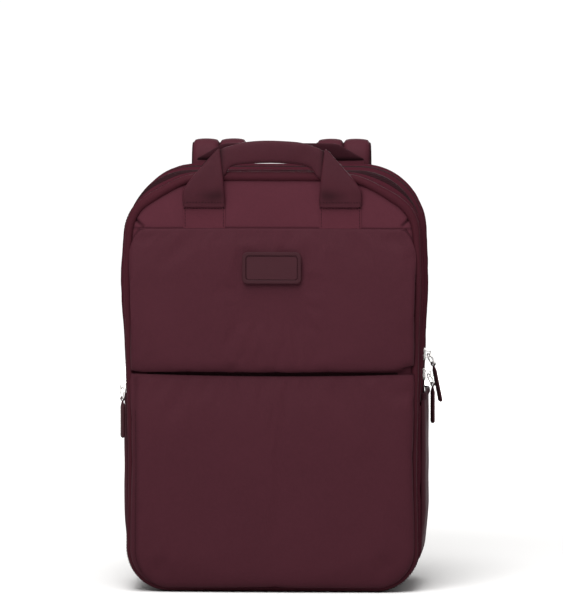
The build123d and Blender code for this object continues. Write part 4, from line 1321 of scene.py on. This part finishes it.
@dataclass
class Handles:
    """The front carrying handle, folded from wide webbing, and the shorter rear one."""

    runs: Runs
    front_y: float = -82.2

    def leg(self, side: int) -> np.ndarray:
        """Returns the flat webbing that rises from the stitches and folds in to a point."""
        y = self.front_y
        outer = [
            (87.6, y + 1.0, 380.4), (88.2, y + 0.1, 389), (87.2, y - 0.9, 397), (80.5, y - 0.9, 407),
            (68.5, y - 0.6, 420.5), (57.0, y + 0.2, 433.4), (52.8, y + 0.8, 437.0)
        ]
        inner = [
            (46.4, y + 1.0, 380.4), (46.3, y, 388), (47.4, y - 1.2, 399), (47.9, y - 1.3, 407),
            (49.2, y - 0.9, 418), (50.9, y - 0.1, 430.5), (51.6, y + 0.8, 436.2)
        ]
        rings = loft(
            [(side * x, b, c) for x, b, c in outer], [(side * x, b, c) for x, b, c in inner],
            lambda t: 3.2 + 1.7 * math.sin(math.pi * min(1, t * 1.1)), 46, 0.42
        )
        rings[..., 1] -= 0.35 * lumps_over(rings, 16, side * 50)
        return rings

    def grip(self) -> np.ndarray:
        """Returns the folded grip between the two legs."""
        y = self.front_y + 2.0
        top = [
            (-70, y + 0.6, 420), (-60, y + 0.3, 430.2), (-50.5, y, 436.8), (-36, y - 0.4, 441.6),
            (-22, y - 0.7, 444.4), (-2, y - 0.8, 445.4), (26, y - 0.7, 443.8), (40, y - 0.3, 439.8), (48, y, 436.6),
            (60, y + 0.3, 429), (70, y + 0.6, 419)
        ]
        low = [
            (-62, y + 0.6, 404), (-54, y + 0.3, 407), (-46.4, y, 411.5), (-42, y, 418.6), (-30, y - 0.3, 421.8),
            (0, y - 0.5, 423.2), (27, y - 0.3, 421.4), (38.5, y, 417.2), (44.5, y, 409.5), (54, y + 0.3, 405),
            (62, y + 0.6, 403)
        ]
        rings = loft(top, low, lambda t: 6.4 - 2.6 * abs(2 * t - 1) ** 3, 90, 0.62)
        rings[..., 1] += 0.5 * lumps_over(rings, 11) + 0.35 * lumps_over(rings, 24, 77)
        return rings

    def build_front(self) -> None:
        """Builds the front handle with its two rows of stitches."""
        grip, legs = self.grip(), [self.leg(side) for _, side in SIDES]
        points, faces = merged([skin(grip, False)] + [skin(leg, False) for leg in legs])
        # painted shade: the grip darkens where it folds into the legs, and each leg darkens on its lower bulge,
        # which faces down
        dark = np.zeros(len(points))
        reach = np.abs(points[:, 0])
        is_grip = np.arange(len(points)) < grip.shape[0] * grip.shape[1]
        dark[is_grip] = 0.75 * np.exp(-((np.maximum(0, 51.5 - reach[is_grip]) / 3.2) ** 2))
        is_leg = ~is_grip
        shade = np.exp(
            -(((reach - 55 + (points[:, 2] - 392) * 0.35) / 9) ** 2)
        ) * np.exp(-(((points[:, 2] - 391) / 6) ** 2))
        dark[is_leg] = 0.55 * shade[is_leg]
        settle(
            piece("front_handle_webbing", points, faces, "handle_satin", dark, 60), "front_handle",
            ["front_handle"]
        )
        lines = []
        for _, side in SIDES:
            for z, back in ((384.6, 2.15),):
                lines.append(
                    facing([(side * x, self.front_y - back, z) for x in np.linspace(47.6, 86.6, 20)], (0, -1, 0))
                )
        low = smooth_line(
            [(-40, -83.0, 420.6), (-30, -83.6, 423.6), (0, -84.0, 425.2), (27, -83.6, 423.4), (38, -83.0, 419.2)],
            40
        )
        lines.append(facing(low, (0, -1, 0)))
        self.runs.stitch("front_handle_stitches", lines, 2.9, (2.1, 0.65, 0.55), "front_handle", "handle_webbing")

    def build_rear(self) -> None:
        """Builds the rear handle and the webbing that it is sewn down with."""
        y = 77.9
        top = [
            (-83.4, y, 417.5), (-82.6, y - 0.4, 419.2), (-76, y - 0.9, 423), (-64, y - 1.2, 430),
            (-56, y - 1.2, 433.6), (-40, y - 1, 434.3), (0, y - 1, 434.4)
        ]
        low = [
            (-42.6, y, 417.5), (-42.0, y - 0.1, 418.4), (-41, y - 0.3, 419.5), (-39.5, y - 0.4, 421),
            (-37.5, y - 0.5, 422), (-30, y - 0.5, 422.4), (0, y - 0.5, 422.4)
        ]
        outer = top + [(-x, b, c) for x, b, c in reversed(top[:-1])]
        inner = low + [(-x, b, c) for x, b, c in reversed(low[:-1])]
        rings = loft(outer, inner, lambda t: 2.6 + 1.4 * math.sin(math.pi * t), 96, 0.5)
        points, faces = skin(rings, False)
        # painted shadow: the handle darkens at its underside near the sewn ends, where it bends forward
        dark = 0.9 * np.exp(-(((points[:, 2] - 417.5) / 2.6) ** 2))
        settle(
            piece("rear_handle_webbing", points, faces, "webbing_weave", dark, 60), "rear_handle",
            ["rear_handle"]
        )
        parts = []
        for _, side in SIDES:
            rows = [
                [(side * x, 78.45 + 0.1 * lumps(x, 3, z, 10), z) for x in np.linspace(42.6, 83.4, 18)]
                for z in np.linspace(335, 416.6, 36)
            ]
            front = np.array(rows)
            parts.append(slab(front, front - (0, 1.3, 0)))
        settle(
            piece("rear_handle_patches", *merged(parts), "patch_weave"), "pack",
            ["rear_handle_tabs"]
        )
        lines = [
            facing([(side * x, 78.75, z) for x in np.linspace(43.6, 82.4, 14)], (0, 1, 0)) for _, side in SIDES
            for z in (412.5, 408.0, 376.5)
        ]
        lines += [
            facing([(side * x, 78.75, z) for z in np.linspace(376.5, 412, 14)], (0, 1, 0)) for _, side in SIDES
            for x in (44.4, 81.6)
        ]
        self.runs.stitch("rear_patch_stitches", lines, 3.0, (2.2, 0.6, 0.5), "pack", "handle_webbing")

    def build(self) -> None:
        """Builds both handles."""
        self.build_front()
        self.build_rear()


@dataclass
class Straps:
    """The two padded shoulder straps with their ladder locks and adjusting webbing."""

    runs: Runs
    spacing: float = 124.0
    width: float = 53.0
    thickness: float = 12.0
    webbing: float = 25.0
    end_y: float = 106.0
    bend: tuple[
        tuple[float, float, float], tuple[float, float, float]
    ] = ((0.0, 100.0, 432.0), (0.0, 112.99, 431.43))

    def middle(self) -> np.ndarray:
        """Returns the strap's middle line as (y, z) from its root over the crown to its end."""
        knots = [
            (88.3, 354.5), (88.3, 380), (88.5, 404), (91.6, 421), (97.6, 429.4), (105.2, 432.3), (112.8, 429.8),
            (119.2, 421.5), (121.4, 407), (120.4, 375), (117.5, 320), (112.6, 230), (106.4, 130)
        ]
        return smooth_line(knots, 118)

    def rings(self, x: float) -> np.ndarray:
        """Returns the two-lobed rings of a strap whose middle is at x."""
        line = self.middle()
        along = np.gradient(line, axis=0)
        along /= np.linalg.norm(along, axis=1, keepdims=True)
        shares = np.linspace(-1, 1, 23)
        lobe = np.sqrt(np.clip(1 - ((np.abs(shares) - 0.5) / 0.5) ** 2, 0, 1)) ** 0.62
        rings = []
        for i, ((y, z), (ty, tz)) in enumerate(zip(line, along)):
            wide = self.width / 2 * (0.60 + 0.40 * float(step(z, 130, 196)) if i > 60 else 1.0)
            half = self.thickness / 2 - 0.9 if i > 3 else self.thickness / 2 - 2.0
            high = half * (0.16 + 0.84 * lobe)
            soft = [0.4 * lumps(x + wide * s, y, z, 22) for s in shares]
            outer = [(x + wide * s, y + tz * -(h + d), z + ty * (h + d)) for s, h, d in zip(shares, high, soft)]
            inner = [(x + wide * s, y + tz * h * 0.9, z - ty * h * 0.9) for s, h in zip(shares[::-1], high[::-1])]
            rings.append(outer + inner)
        return np.array(rings)

    def build_pad(self, word: str, side: int) -> None:
        """Builds one padded strap with its edge binding and its channel stitches."""
        x = side * self.spacing / 2
        rings = self.rings(x)
        points, faces = skin(rings, False)
        columns = np.arange(rings.shape[1])
        sewn = np.isin(columns, (0, 11, 22, 23, 34, 45))
        held = np.concatenate([np.broadcast_to(sewn, rings.shape[:2]).ravel(), [True, True]])
        held[: 2 * rings.shape[1]] = True
        points = swell(points, faces, held, 1.5, 3.0, 0.012)
        # painted shade: darker along the channel between the two padded lobes
        dark = np.zeros(len(points))
        dark[: rings.size // 3] = np.broadcast_to(
            np.where(np.isin(columns, (11, 34)), 0.55, 0.0), rings.shape[:2]
        ).ravel()
        pad = piece(f"strap_pad_cloth_{word}", points, faces, "strap_twill", dark, 60)
        settle(
            pad, ("pack", f"strap_{word}"), [f"strap_root_{word}", f"strap_pad_{word}"], self.bend
        )
        grid = points[: rings.size // 3].reshape(rings.shape)
        edges = []
        for columns_pair in ((0, 45), (22, 23)):
            line = (grid[:, columns_pair[0]] + grid[:, columns_pair[1]]) / 2
            turns = np.linspace(0, math.tau, 9)[:-1]
            along = np.gradient(line, axis=0)
            along /= np.linalg.norm(along, axis=1, keepdims=True)
            wide = np.broadcast_to([1.0, 0, 0], line.shape)
            up = np.cross(along, wide)
            edges.append(
                skin(
                    np.stack([line + 0.8 * math.cos(a) * wide + 1.5 * math.sin(a) * up for a in turns], axis=1),
                    False
                )
            )
        binding = piece(f"strap_binding_{word}", *merged(edges), "webbing_weave")
        settle(binding, ("pack", f"strap_{word}"), (), self.bend)
        face = grid[4:-2, 11]
        away = np.cross(np.gradient(grid[4:-2, 11], axis=0), np.broadcast_to([-1.0, 0, 0], face.shape))
        away /= np.linalg.norm(away, axis=1, keepdims=True)
        self.runs.stitch(
            f"strap_stitches_{word}", [(face + away * 0.2, away)], 3.4, (2.4, 0.7, 0.5), ("pack", f"strap_{word}"),
            "strap_fabric", self.bend
        )

    def build_webbing(self, word: str, side: int) -> None:
        """Builds the loop, the tail and the lower webbing of one strap."""
        x, y = side * self.spacing / 2, self.end_y
        arc = [(x, y - 3 * math.cos(a), 110 - 3 * math.sin(a)) for a in np.linspace(0, math.pi, 13)]
        loop = np.array([(x, y - 3, 130), (x, y - 3, 120), *arc, (x, y + 3, 120), (x, y + 3, 130)])
        settle(
            piece(
                f"lock_loop_webbing_{word}", *skin(ribbon(loop, self.webbing, 1.2, (1, 0, 0)), False),
                "webbing_weave"
            ),
            f"strap_{word}", [f"lock_loop_{word}"]
        )
        over = [(x, y - 3 * math.cos(a), 100 + 3 * math.sin(a)) for a in np.linspace(0, math.pi, 13)]
        down = [(x, y + 3 + 0.35 * math.sin((97 - z) / 9), z) for z in np.linspace(96, 27, 24)]
        tail = np.array([(x, y - 3, 84.5), (x, y - 3, 92), *over, *down])
        hem = np.array([(x, y + 3 + 0.35 * math.sin((97 - z) / 9) + 1.1, z) for z in np.linspace(42, 26.6, 7)])
        parts = [
            skin(ribbon(tail, self.webbing, 1.2, (1, 0, 0)), False),
            skin(ribbon(hem, self.webbing, 1.0, (1, 0, 0)), False)
        ]
        settle(
            piece(f"strap_tail_webbing_{word}", *merged(parts), "webbing_weave"), f"adjuster_{word}",
            [f"strap_tail_{word}"]
        )
        sew = [
            facing([(x + dx, y + 4.9, z) for dx in np.linspace(-10.5, 10.5, 8)], (0, 1, 0)) for z in (39.5, 30.5)
        ]
        self.runs.stitch(f"tail_stitches_{word}", sew, 2.8, (2.0, 0.55, 0.5), f"adjuster_{word}", "strap_fabric")
        start, stop = np.array([side * 116.5, 81.6, 26.0]), np.array([x, y - 3.0, 71.5])
        share = np.linspace(0, 1, 26)[:, None]
        low = start + (stop - start) * share + np.array([0, 1.0, -1.6]) * np.sin(math.pi * share)
        across = np.cross([0, 1.0, 0], stop - start)
        settle(
            piece(
                f"lower_strap_webbing_{word}", *skin(ribbon(low, self.webbing, 1.2, tuple(across)), False),
                "webbing_weave"
            ),
            "pack", [f"lower_webbing_{word}"]
        )

    def build_anchor(self, word: str, side: int) -> None:
        """Builds the sewn wing that holds the lower webbing."""
        corners = [(91.8, 14.0), (128.6, 20.2), (128.6, 38.0), (104.4, 38.0)]
        rows = []
        for t in np.linspace(0, 1, 14):
            left = np.array(corners[0]) * (1 - t) + np.array(corners[3]) * t
            right = np.array(corners[1]) * (1 - t) + np.array(corners[2]) * t
            row = []
            for s in np.linspace(0, 1, 16):
                x, z = left * (1 - s) + right * s
                crown = (math.sin(math.pi * s) * math.sin(math.pi * t)) ** 0.5
                row.append((side * x, 78.4 + 1.7 * crown, z))
            rows.append(row)
        front = np.array(rows)
        back = front.copy()
        back[..., 1] = 77.0
        wing = piece(f"anchor_wing_{word}", *slab(front, back), "shell_twill")
        settle(wing, "pack", [f"anchor_tab_{word}"])
        inner = smooth_line(
            [
                (side * 96.5, 79.4, 16.6), (side * 126.2, 79.4, 21.6), (side * 126.2, 79.4, 36.0),
                (side * 106.0, 79.4, 36.0)
            ],
            30
        )
        self.runs.stitch(
            f"anchor_stitches_{word}", [facing(inner, (0, 1, 0))], 3.0, (2.1, 0.6, 0.5), "pack", "shell_fabric"
        )

    def build(self) -> None:
        """Builds both straps."""
        for word, side in SIDES:
            self.build_pad(word, side)
            self.build_webbing(word, side)
            self.build_anchor(word, side)


@dataclass
class Back:
    """The quilted back panel, the trolley sleeve and the strap yoke."""

    runs: Runs
    face_y: float = 77.0
    pitch: float = 46.0

    def build_panel(self) -> None:
        """Builds the foam back panel, sewn into channels."""
        heights = np.arange(6.4, 408, 3.4)
        rows, dark = [], []
        for z in heights:
            reach = PACK.reach(float(z), 6.0)
            row, shades = [], []
            for t in np.linspace(-1, 1, 97):
                x = reach * t
                edge = PACK.margin(x, float(z), 6.0)
                column = abs((x / self.pitch + 0.5) % 1 - 0.5) * self.pitch
                course = abs(((z - 20) / 62 + 0.5) % 1 - 0.5) * 62
                channel = min(column if z < 330 else 99.0, course if z < 340 else 99.0, max(0.0, edge))
                rise = 1 - math.exp(-channel / 3.2)
                row.append((x, 74.3 + 2.5 * rise, float(z)))
                # painted shade: darker in the sewn channels and along the edge, where the foam dips
                shades.append(0.5 * math.exp(-channel / 1.4))
            rows.append(row)
            dark.append(shades)
        front = np.array(rows)
        back = front.copy()
        back[..., 1] = 68.4
        points, faces = slab(front, back)
        held = np.concatenate([(np.array(dark) > 0.25).ravel(), np.ones(len(points) // 2, bool)])
        held |= np.concatenate([(front[..., 2] > 325).ravel(), np.zeros(len(points) // 2, bool)])
        points = swell(points, faces, held, 1.2, 2.0, 0.006)
        panel = piece(
            "back_panel_foam", points, faces, "back_mesh",
            np.concatenate([np.ravel(dark), np.zeros(len(points) // 2)])
        )
        settle(panel, "pack", ["back_panel"])

    def build_sleeve(self) -> None:
        """Builds the trolley sleeve, a bowed sheet sewn down at its sides."""
        shares = np.linspace(-1, 1, 60)
        rows = []
        for z in np.linspace(152.5, 301.5, 44):
            slack = 1 - 0.12 * math.sin(math.pi * (z - 152) / 150)
            row = []
            for t in shares:
                bow = min(1.0, (1 - abs(t)) / 0.22)
                bow = math.sin(bow * math.pi / 2) ** 1.4
                row.append(
                    (101.4 * t, self.face_y + 1.6 + 12.6 * bow * slack + 0.5 * lumps(101 * t, 2, z, 38) * bow, z)
                )
            rows.append(row)
        grid = np.array(rows)
        normal = np.cross(np.gradient(grid, axis=0), np.gradient(grid, axis=1))
        normal /= np.linalg.norm(normal, axis=2, keepdims=True)
        sleeve = piece(
            "trolley_sleeve_cloth", *slab(grid, grid - normal * 1.3 * np.sign(normal[..., 1:2])), "shell_twill"
        )
        settle(sleeve, "pack", ["trolley_sleeve"])
        lines = [
            facing([(x, self.face_y + 2.2, z) for z in np.linspace(154, 300, 60)], (0, 1, 0)) for x in (-99.6, 99.6)
        ]
        for edge in (6, -7):
            line = grid[edge, 3:-3] + (0, 0.3, 0)
            lines.append(facing(line, (0, 1, 0)))
        self.runs.stitch("sleeve_stitches", lines, 3.1, (2.3, 0.6, 0.5), "pack", "shell_fabric")

    def build_yoke(self) -> None:
        """Builds the padded patch over the straps' roots."""
        rows = []
        for z in np.linspace(338.0, 370.0, 20):
            row = []
            for x in np.linspace(-88.6, 88.6, 72):
                edge = min(88.6 - abs(x), z - 338.0, 370.0 - z)
                row.append(
                    (x, 80.2 + 1.7 * (1 - math.exp(-edge / 2.2)) - 0.5 * math.exp(-(((edge - 3.2) / 0.9) ** 2)), z)
                )
            rows.append(row)
        front = np.array(rows)
        back = front.copy()
        back[..., 1] = 78.7
        yoke = piece("strap_yoke_patch", *slab(front, back), "shell_twill")
        settle(yoke, "pack", ["strap_yoke"])
        lines = [facing([(x, 81.5, z) for x in np.linspace(-85, 85, 60)], (0, 1, 0)) for z in (341.2, 366.8)]
        self.runs.stitch("yoke_stitches", lines, 3.1, (2.3, 0.6, 0.5), "pack", "shell_fabric")

    def build(self) -> None:
        """Builds everything on the back face."""
        self.build_panel()
        self.build_sleeve()
        self.build_yoke()


@dataclass
class Sides:
    """The side pockets with their gathered elastic hems."""

    runs: Runs
    front_y: float = -36.0
    back_y: float = 62.0
    base_z: float = 30.0
    top_z: float = 187.5
    hem: float = 6.0
    out: float = 5.0

    def face(self, side: int, y: float, z: float) -> tuple[float, float, float]:
        """Returns a point of the pocket's outer face."""
        across = (y - self.front_y) / (self.back_y - self.front_y)
        round_y = min(1.0, math.sin(math.pi * min(max(across, 0.0), 1.0)) * 4.0) ** 0.5
        round_z = float(step(z, self.base_z - 6, self.base_z + 52))
        soft = 0.35 * lumps(side * 9, y, z, 26) - 0.35 * float(step(z, 150, 186)) * math.sin(y / 3.4) ** 2
        return (side * (PACK.reach(z, 0) + 0.9 + (self.out - 0.9 + soft) * round_y * round_z), y, z)

    def build(self) -> None:
        """Builds both pockets and both hems."""
        for word, side in SIDES:
            depth = np.linspace(self.front_y + 0.3, self.back_y - 0.3, 64)
            grid = np.array(
                [[self.face(side, y, z) for y in depth] for z in np.linspace(self.base_z, self.top_z, 56)]
            )
            inside = grid - np.array([side * 1.0, 0, 0])
            pocket = piece(f"side_pocket_cloth_{word}", *slab(grid, inside), "pocket_twill")
            settle(pocket, "pack", [f"side_pocket_{word}"])
            rows = []
            for z in np.linspace(self.top_z - 1.0, self.top_z + self.hem, 9):
                row = []
                for y in depth:
                    x, _, _ = self.face(side, y, self.top_z)
                    bead = math.sin(
                        math.pi * (z - self.top_z + 1.0) / (self.hem + 1.0)
                    ) ** 0.6 if z > self.top_z - 1 else 0.0
                    row.append(
                        (x + side * (0.5 + 0.7 * max(0.0, bead) + 0.22 * math.sin(y * math.tau / 2.6)), y, z)
                    )
                rows.append(row)
            band = np.array(rows)
            hem = piece(
                f"side_pocket_elastic_{word}", *slab(band, band - np.array([side * 1.9, 0, 0])), "elastic_rib"
            )
            settle(hem, "pack", [f"side_pocket_hem_{word}"])


@dataclass
class Inside:
    """The lining, the padded divider and the organizer pocket."""

    runs: Runs

    def build(self) -> None:
        """Builds what shows when the front is open."""
        loop = PACK.stations(6.0)
        rings = np.array(
            [
                ring_at(
                    s,
                    [
                        (-3.05 - 0.25 * abs(lumps(s.x, y, s.z, 20)), y) for y in np.linspace(-37.7, 17.0, 12)
                    ] + [(-3.75, y) for y in np.linspace(17.0, -37.7, 12)]
                )
                for s in loop
            ]
        )
        settle(piece("main_lining_cloth", *skin(rings, True), "lining_plain"), "pack", ["main_lining"])
        rows = []
        for z in np.linspace(4.4, 346.8, 84):
            reach = PACK.reach(float(z), 4.2)
            rows.append(
                [
                    (
                        reach * t,
                        19.0 - 1.4 * (
                            1 - math.exp(-max(0.0, min(PACK.margin(reach * t, float(z), 4.2), 346.8 - z)) / 6)
                        ),
                        float(z)
                    )
                    for t in np.linspace(-1, 1, 70)
                ]
            )
        front = np.array(rows)
        back = front.copy()
        back[..., 1] = 23.3
        divider = piece("laptop_divider_pad", *slab(front, back), "lining_plain")
        settle(divider, "pack", ["laptop_divider"])
        rows = []
        for z in np.linspace(60.3, 234.8, 50):
            low = float(step(z, 60, 72))
            row = []
            for x in np.linspace(-109.8, 109.8, 90):
                side = min(1.0, (109.8 - abs(x)) / 8) ** 0.5
                seam = min(1.0, abs(abs(x) - 36) / 5) ** 0.5
                row.append(
                    (x, 16.6 - 7.2 * side * low * (0.35 + 0.65 * seam) * (0.75 + 0.25 * math.sin(x / 19) ** 2), z)
                )
            rows.append(row)
        grid = np.array(rows)
        organizer = piece("organizer_pocket_cloth", *slab(grid, grid + (0, 0.6, 0)), "lining_plain")
        settle(organizer, "pack", ["organizer_pocket"])


@dataclass
class Pullers:
    """The moulded pull tabs, and the finish of the sliders, rings, locks and boards."""

    stand: float = 5.4
    twist: float = 24.0
    ring: float = 5.7
    half_x: float = 144.5
    places: tuple[tuple[str, str, int, float, float, float, float], ...] = (
        ("front_tab", "front_tab", -1, -45.0, 199.0, 0.0, 0.0),
        ("rear_tab", "rear_tab", 1, 25.0, 228.0, 27.0, 12.0),
        ("low_tab", "pack", 1, 25.0, 208.0, 24.0, 0.0),
    )

    def hung(self, side: int, y: float, z: float, degrees: float) -> Matrix:
        """Returns the frame that hangs from a slider, swung out by degrees."""
        axes = Matrix(((0, 0, side), (side, 0, 0), (0, 1, 0))).to_4x4()
        place = Matrix.Translation((side * (self.half_x + self.stand), y, z))
        return place @ axes @ Matrix.Rotation(
            math.radians(self.twist), 4, "Y"
        ) @ Matrix.Rotation(math.radians(-degrees), 4, "X")

    def tab(self, frame_matrix: Matrix) -> tuple[np.ndarray, list[tuple[int, ...]]]:
        """Returns the mesh of a ribbed tab with the eye that goes round the ring."""
        rings = []
        for y in np.concatenate([[-1.9, -3.2, -4.8, -6.4], np.linspace(-7.2, -38.9, 92)]):
            neck = float(step(-y, 2.5, 8.0))
            end = math.sqrt(max(0.02, 1 - max(0.0, (-y - 36.6) / 2.42) ** 2))
            rib = 0.26 * math.sin((-y - 9) * math.tau / 2.5) if 9 < -y < 35 else 0.0
            wide, high = (1.6 + 2.4 * neck) * end, (0.9 + 0.62 * neck + rib) * end
            turns = [math.tau * k / 16 for k in range(16)]
            rings.append(
                [
                    (
                        wide * math.copysign(abs(math.cos(a)) ** 0.6, math.cos(a)), y,
                        high * math.copysign(abs(math.sin(a)) ** 0.6, math.sin(a))
                    )
                    for a in turns
                ]
            )
        eye = []
        for a in np.linspace(0, math.tau, 21)[:-1]:
            out = np.array([0.0, math.cos(a), math.sin(a)])
            eye.append(
                [
                    np.array([w, 0, 0]) + out * r
                    for w, r in ((-1.6, 1.5), (-1.6, 2.15), (-1.2, 2.3), (1.2, 2.3), (1.6, 2.15), (1.6, 1.5))
                ]
            )
        points, faces = merged([skin(np.array(rings), False), skin(np.array(eye), True)])
        return np.array([frame_matrix @ Vector(p) for p in points]), faces

    def build(self) -> None:
        """Builds the tabs and finishes the hard CAD parts."""
        for node, body, side, y, z, ring_tilt, tab_tilt in self.places:
            low = self.hung(side, y, z, ring_tilt) @ Vector((0, -2 * self.ring, 0))
            turned = self.hung(side, y, z, tab_tilt)
            turned.translation = low
            settle(piece(f"{node}_moulded", *self.tab(turned), "pull_rubber"), body, [node])
        hard = {
            "slider_nickel": ("front_slider", "rear_slider", "low_slider", "front_ring", "rear_ring", "low_ring"),
            "metal_painted_slit_shade": ("pocket_slider", "pocket_pull"),
            "buckle_plastic": ("ladder_lock_left", "ladder_lock_right"),
            "board_fibre": ("back_board", "base_board"),
            "badge_grain": ("badge_frame",),
            "badge_inset": ("badge_plate",),
        }
        for finish, nodes in hard.items():
            for node in nodes:
                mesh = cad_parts[node].data
                mesh.materials.clear()
                mesh.materials.append(MATERIALS[finish])


# ---- surroundings -------------------------------------------------------------------------------
@dataclass
class Studio:
    """The camera, the pale floor and the soft light."""

    azimuth: float = 2.9
    elevation: float = 4.0
    distance: float = 10.0
    frame_height: float = 0.5904
    target: tuple[float, float, float] = (0.0089, -0.075, 0.288)
    floor_z: float = -0.0006
    lamps: tuple[tuple[str, tuple[float, float, float], float, float], ...] = (
        ("key", (-0.35, -1.75, 1.55), 1.2, 52),
        ("top", (-0.1, -0.2, 1.9), 1.0, 12),
        ("rear", (0.2, 2.6, 0.9), 1.6, 26),
    )

    def build_camera(self) -> None:
        """Sets the camera far back, with a long lens."""
        data = bpy.data.cameras.new("camera")
        data.sensor_width = 36
        data.lens = 36 * self.distance / self.frame_height
        data.clip_start, data.clip_end = 0.5, 200
        camera = bpy.data.objects.new("camera", data)
        bpy.context.scene.collection.objects.link(camera)
        a, e = math.radians(self.azimuth), math.radians(self.elevation)
        back = Vector((math.sin(a) * math.cos(e), -math.cos(a) * math.cos(e), math.sin(e)))
        camera.location = Vector(self.target) + back * self.distance
        camera.rotation_euler = (-back).to_track_quat("-Z", "Y").to_euler()
        bpy.context.scene.camera = camera

    def build_floor(self) -> None:
        """Lays a wide pale floor just under the pack, with painted shade: its colour darkens near the pack to
        deepen the contact shadow.
        """
        mesh = bpy.data.meshes.new("floor")
        corners = [(x, y, self.floor_z) for x, y in ((-30, -30), (30, -30), (30, 60), (-30, 60))]
        mesh.from_pydata(corners, [], [(0, 1, 2, 3)])
        floor = bpy.data.objects.new("floor", mesh)
        bpy.context.scene.collection.objects.link(floor)
        shade = Shade("floor_painted_contact_shade")
        away = shade.node("ShaderNodeVectorMath", {"operation": "LENGTH"}, {"Vector": shade.where}, "Value")
        # painted shade: the floor is darker within about a metre and a half of the pack, which deepens its contact
        # shadow
        shade.feed(
            "Base Color", shade.mix(shade.ramp(away, 0.5, 1.4), (0.60, 0.595, 0.59, 1), (0.94, 0.94, 0.94, 1))
        )
        shade.fix(Roughness=0.9, Specular_IOR_Level=0.0)
        mesh.materials.append(shade.material)

    def lamp(self, name: str, place: tuple[float, float, float], size: float, watts: float) -> None:
        """Adds a soft square lamp that looks at the pack."""
        data = bpy.data.lights.new(name, "AREA")
        data.size, data.energy = size, watts
        light = bpy.data.objects.new(name, data)
        bpy.context.scene.collection.objects.link(light)
        light.location = place
        light.rotation_euler = (Vector((0, 0, 0.22)) - Vector(place)).to_track_quat("-Z", "Y").to_euler()

    def build(self) -> None:
        """Builds the surroundings."""
        self.build_camera()
        self.build_floor()
        world = bpy.data.worlds.new("studio")
        world.use_nodes = True
        ground = world.node_tree.nodes["Background"]
        ground.inputs["Color"].default_value = (1, 1, 1, 1)
        ground.inputs["Strength"].default_value = 0.5
        bpy.context.scene.world = world
        for name, place, size, watts in self.lamps:
            self.lamp(name, place, size, watts)
        sun = bpy.data.lights.new("overhead", "SUN")
        sun.energy, sun.angle = 2.1, math.radians(35)
        high = bpy.data.objects.new("overhead", sun)
        high.rotation_euler = (math.radians(22), 0, 0)
        bpy.context.scene.collection.objects.link(high)
        bpy.context.scene.view_settings.view_transform = "Standard"


def main() -> None:
    """Builds the pack's sub-assemblies in order."""
    logging.basicConfig(level=logging.INFO, format="%(name)s: %(message)s")
    for finish in FINISHES:
        MATERIALS[finish.name] = finish.make()
    Studio().build()
    runs = Runs()
    for assembly in (
        Shell(runs), Front(runs), Handles(runs), Straps(runs), Back(runs), Sides(runs), Inside(runs), Pullers()
    ):
        assembly.build()
        LOG.info("%s is done", type(assembly).__name__)


if __name__ == "__main__":
    main()
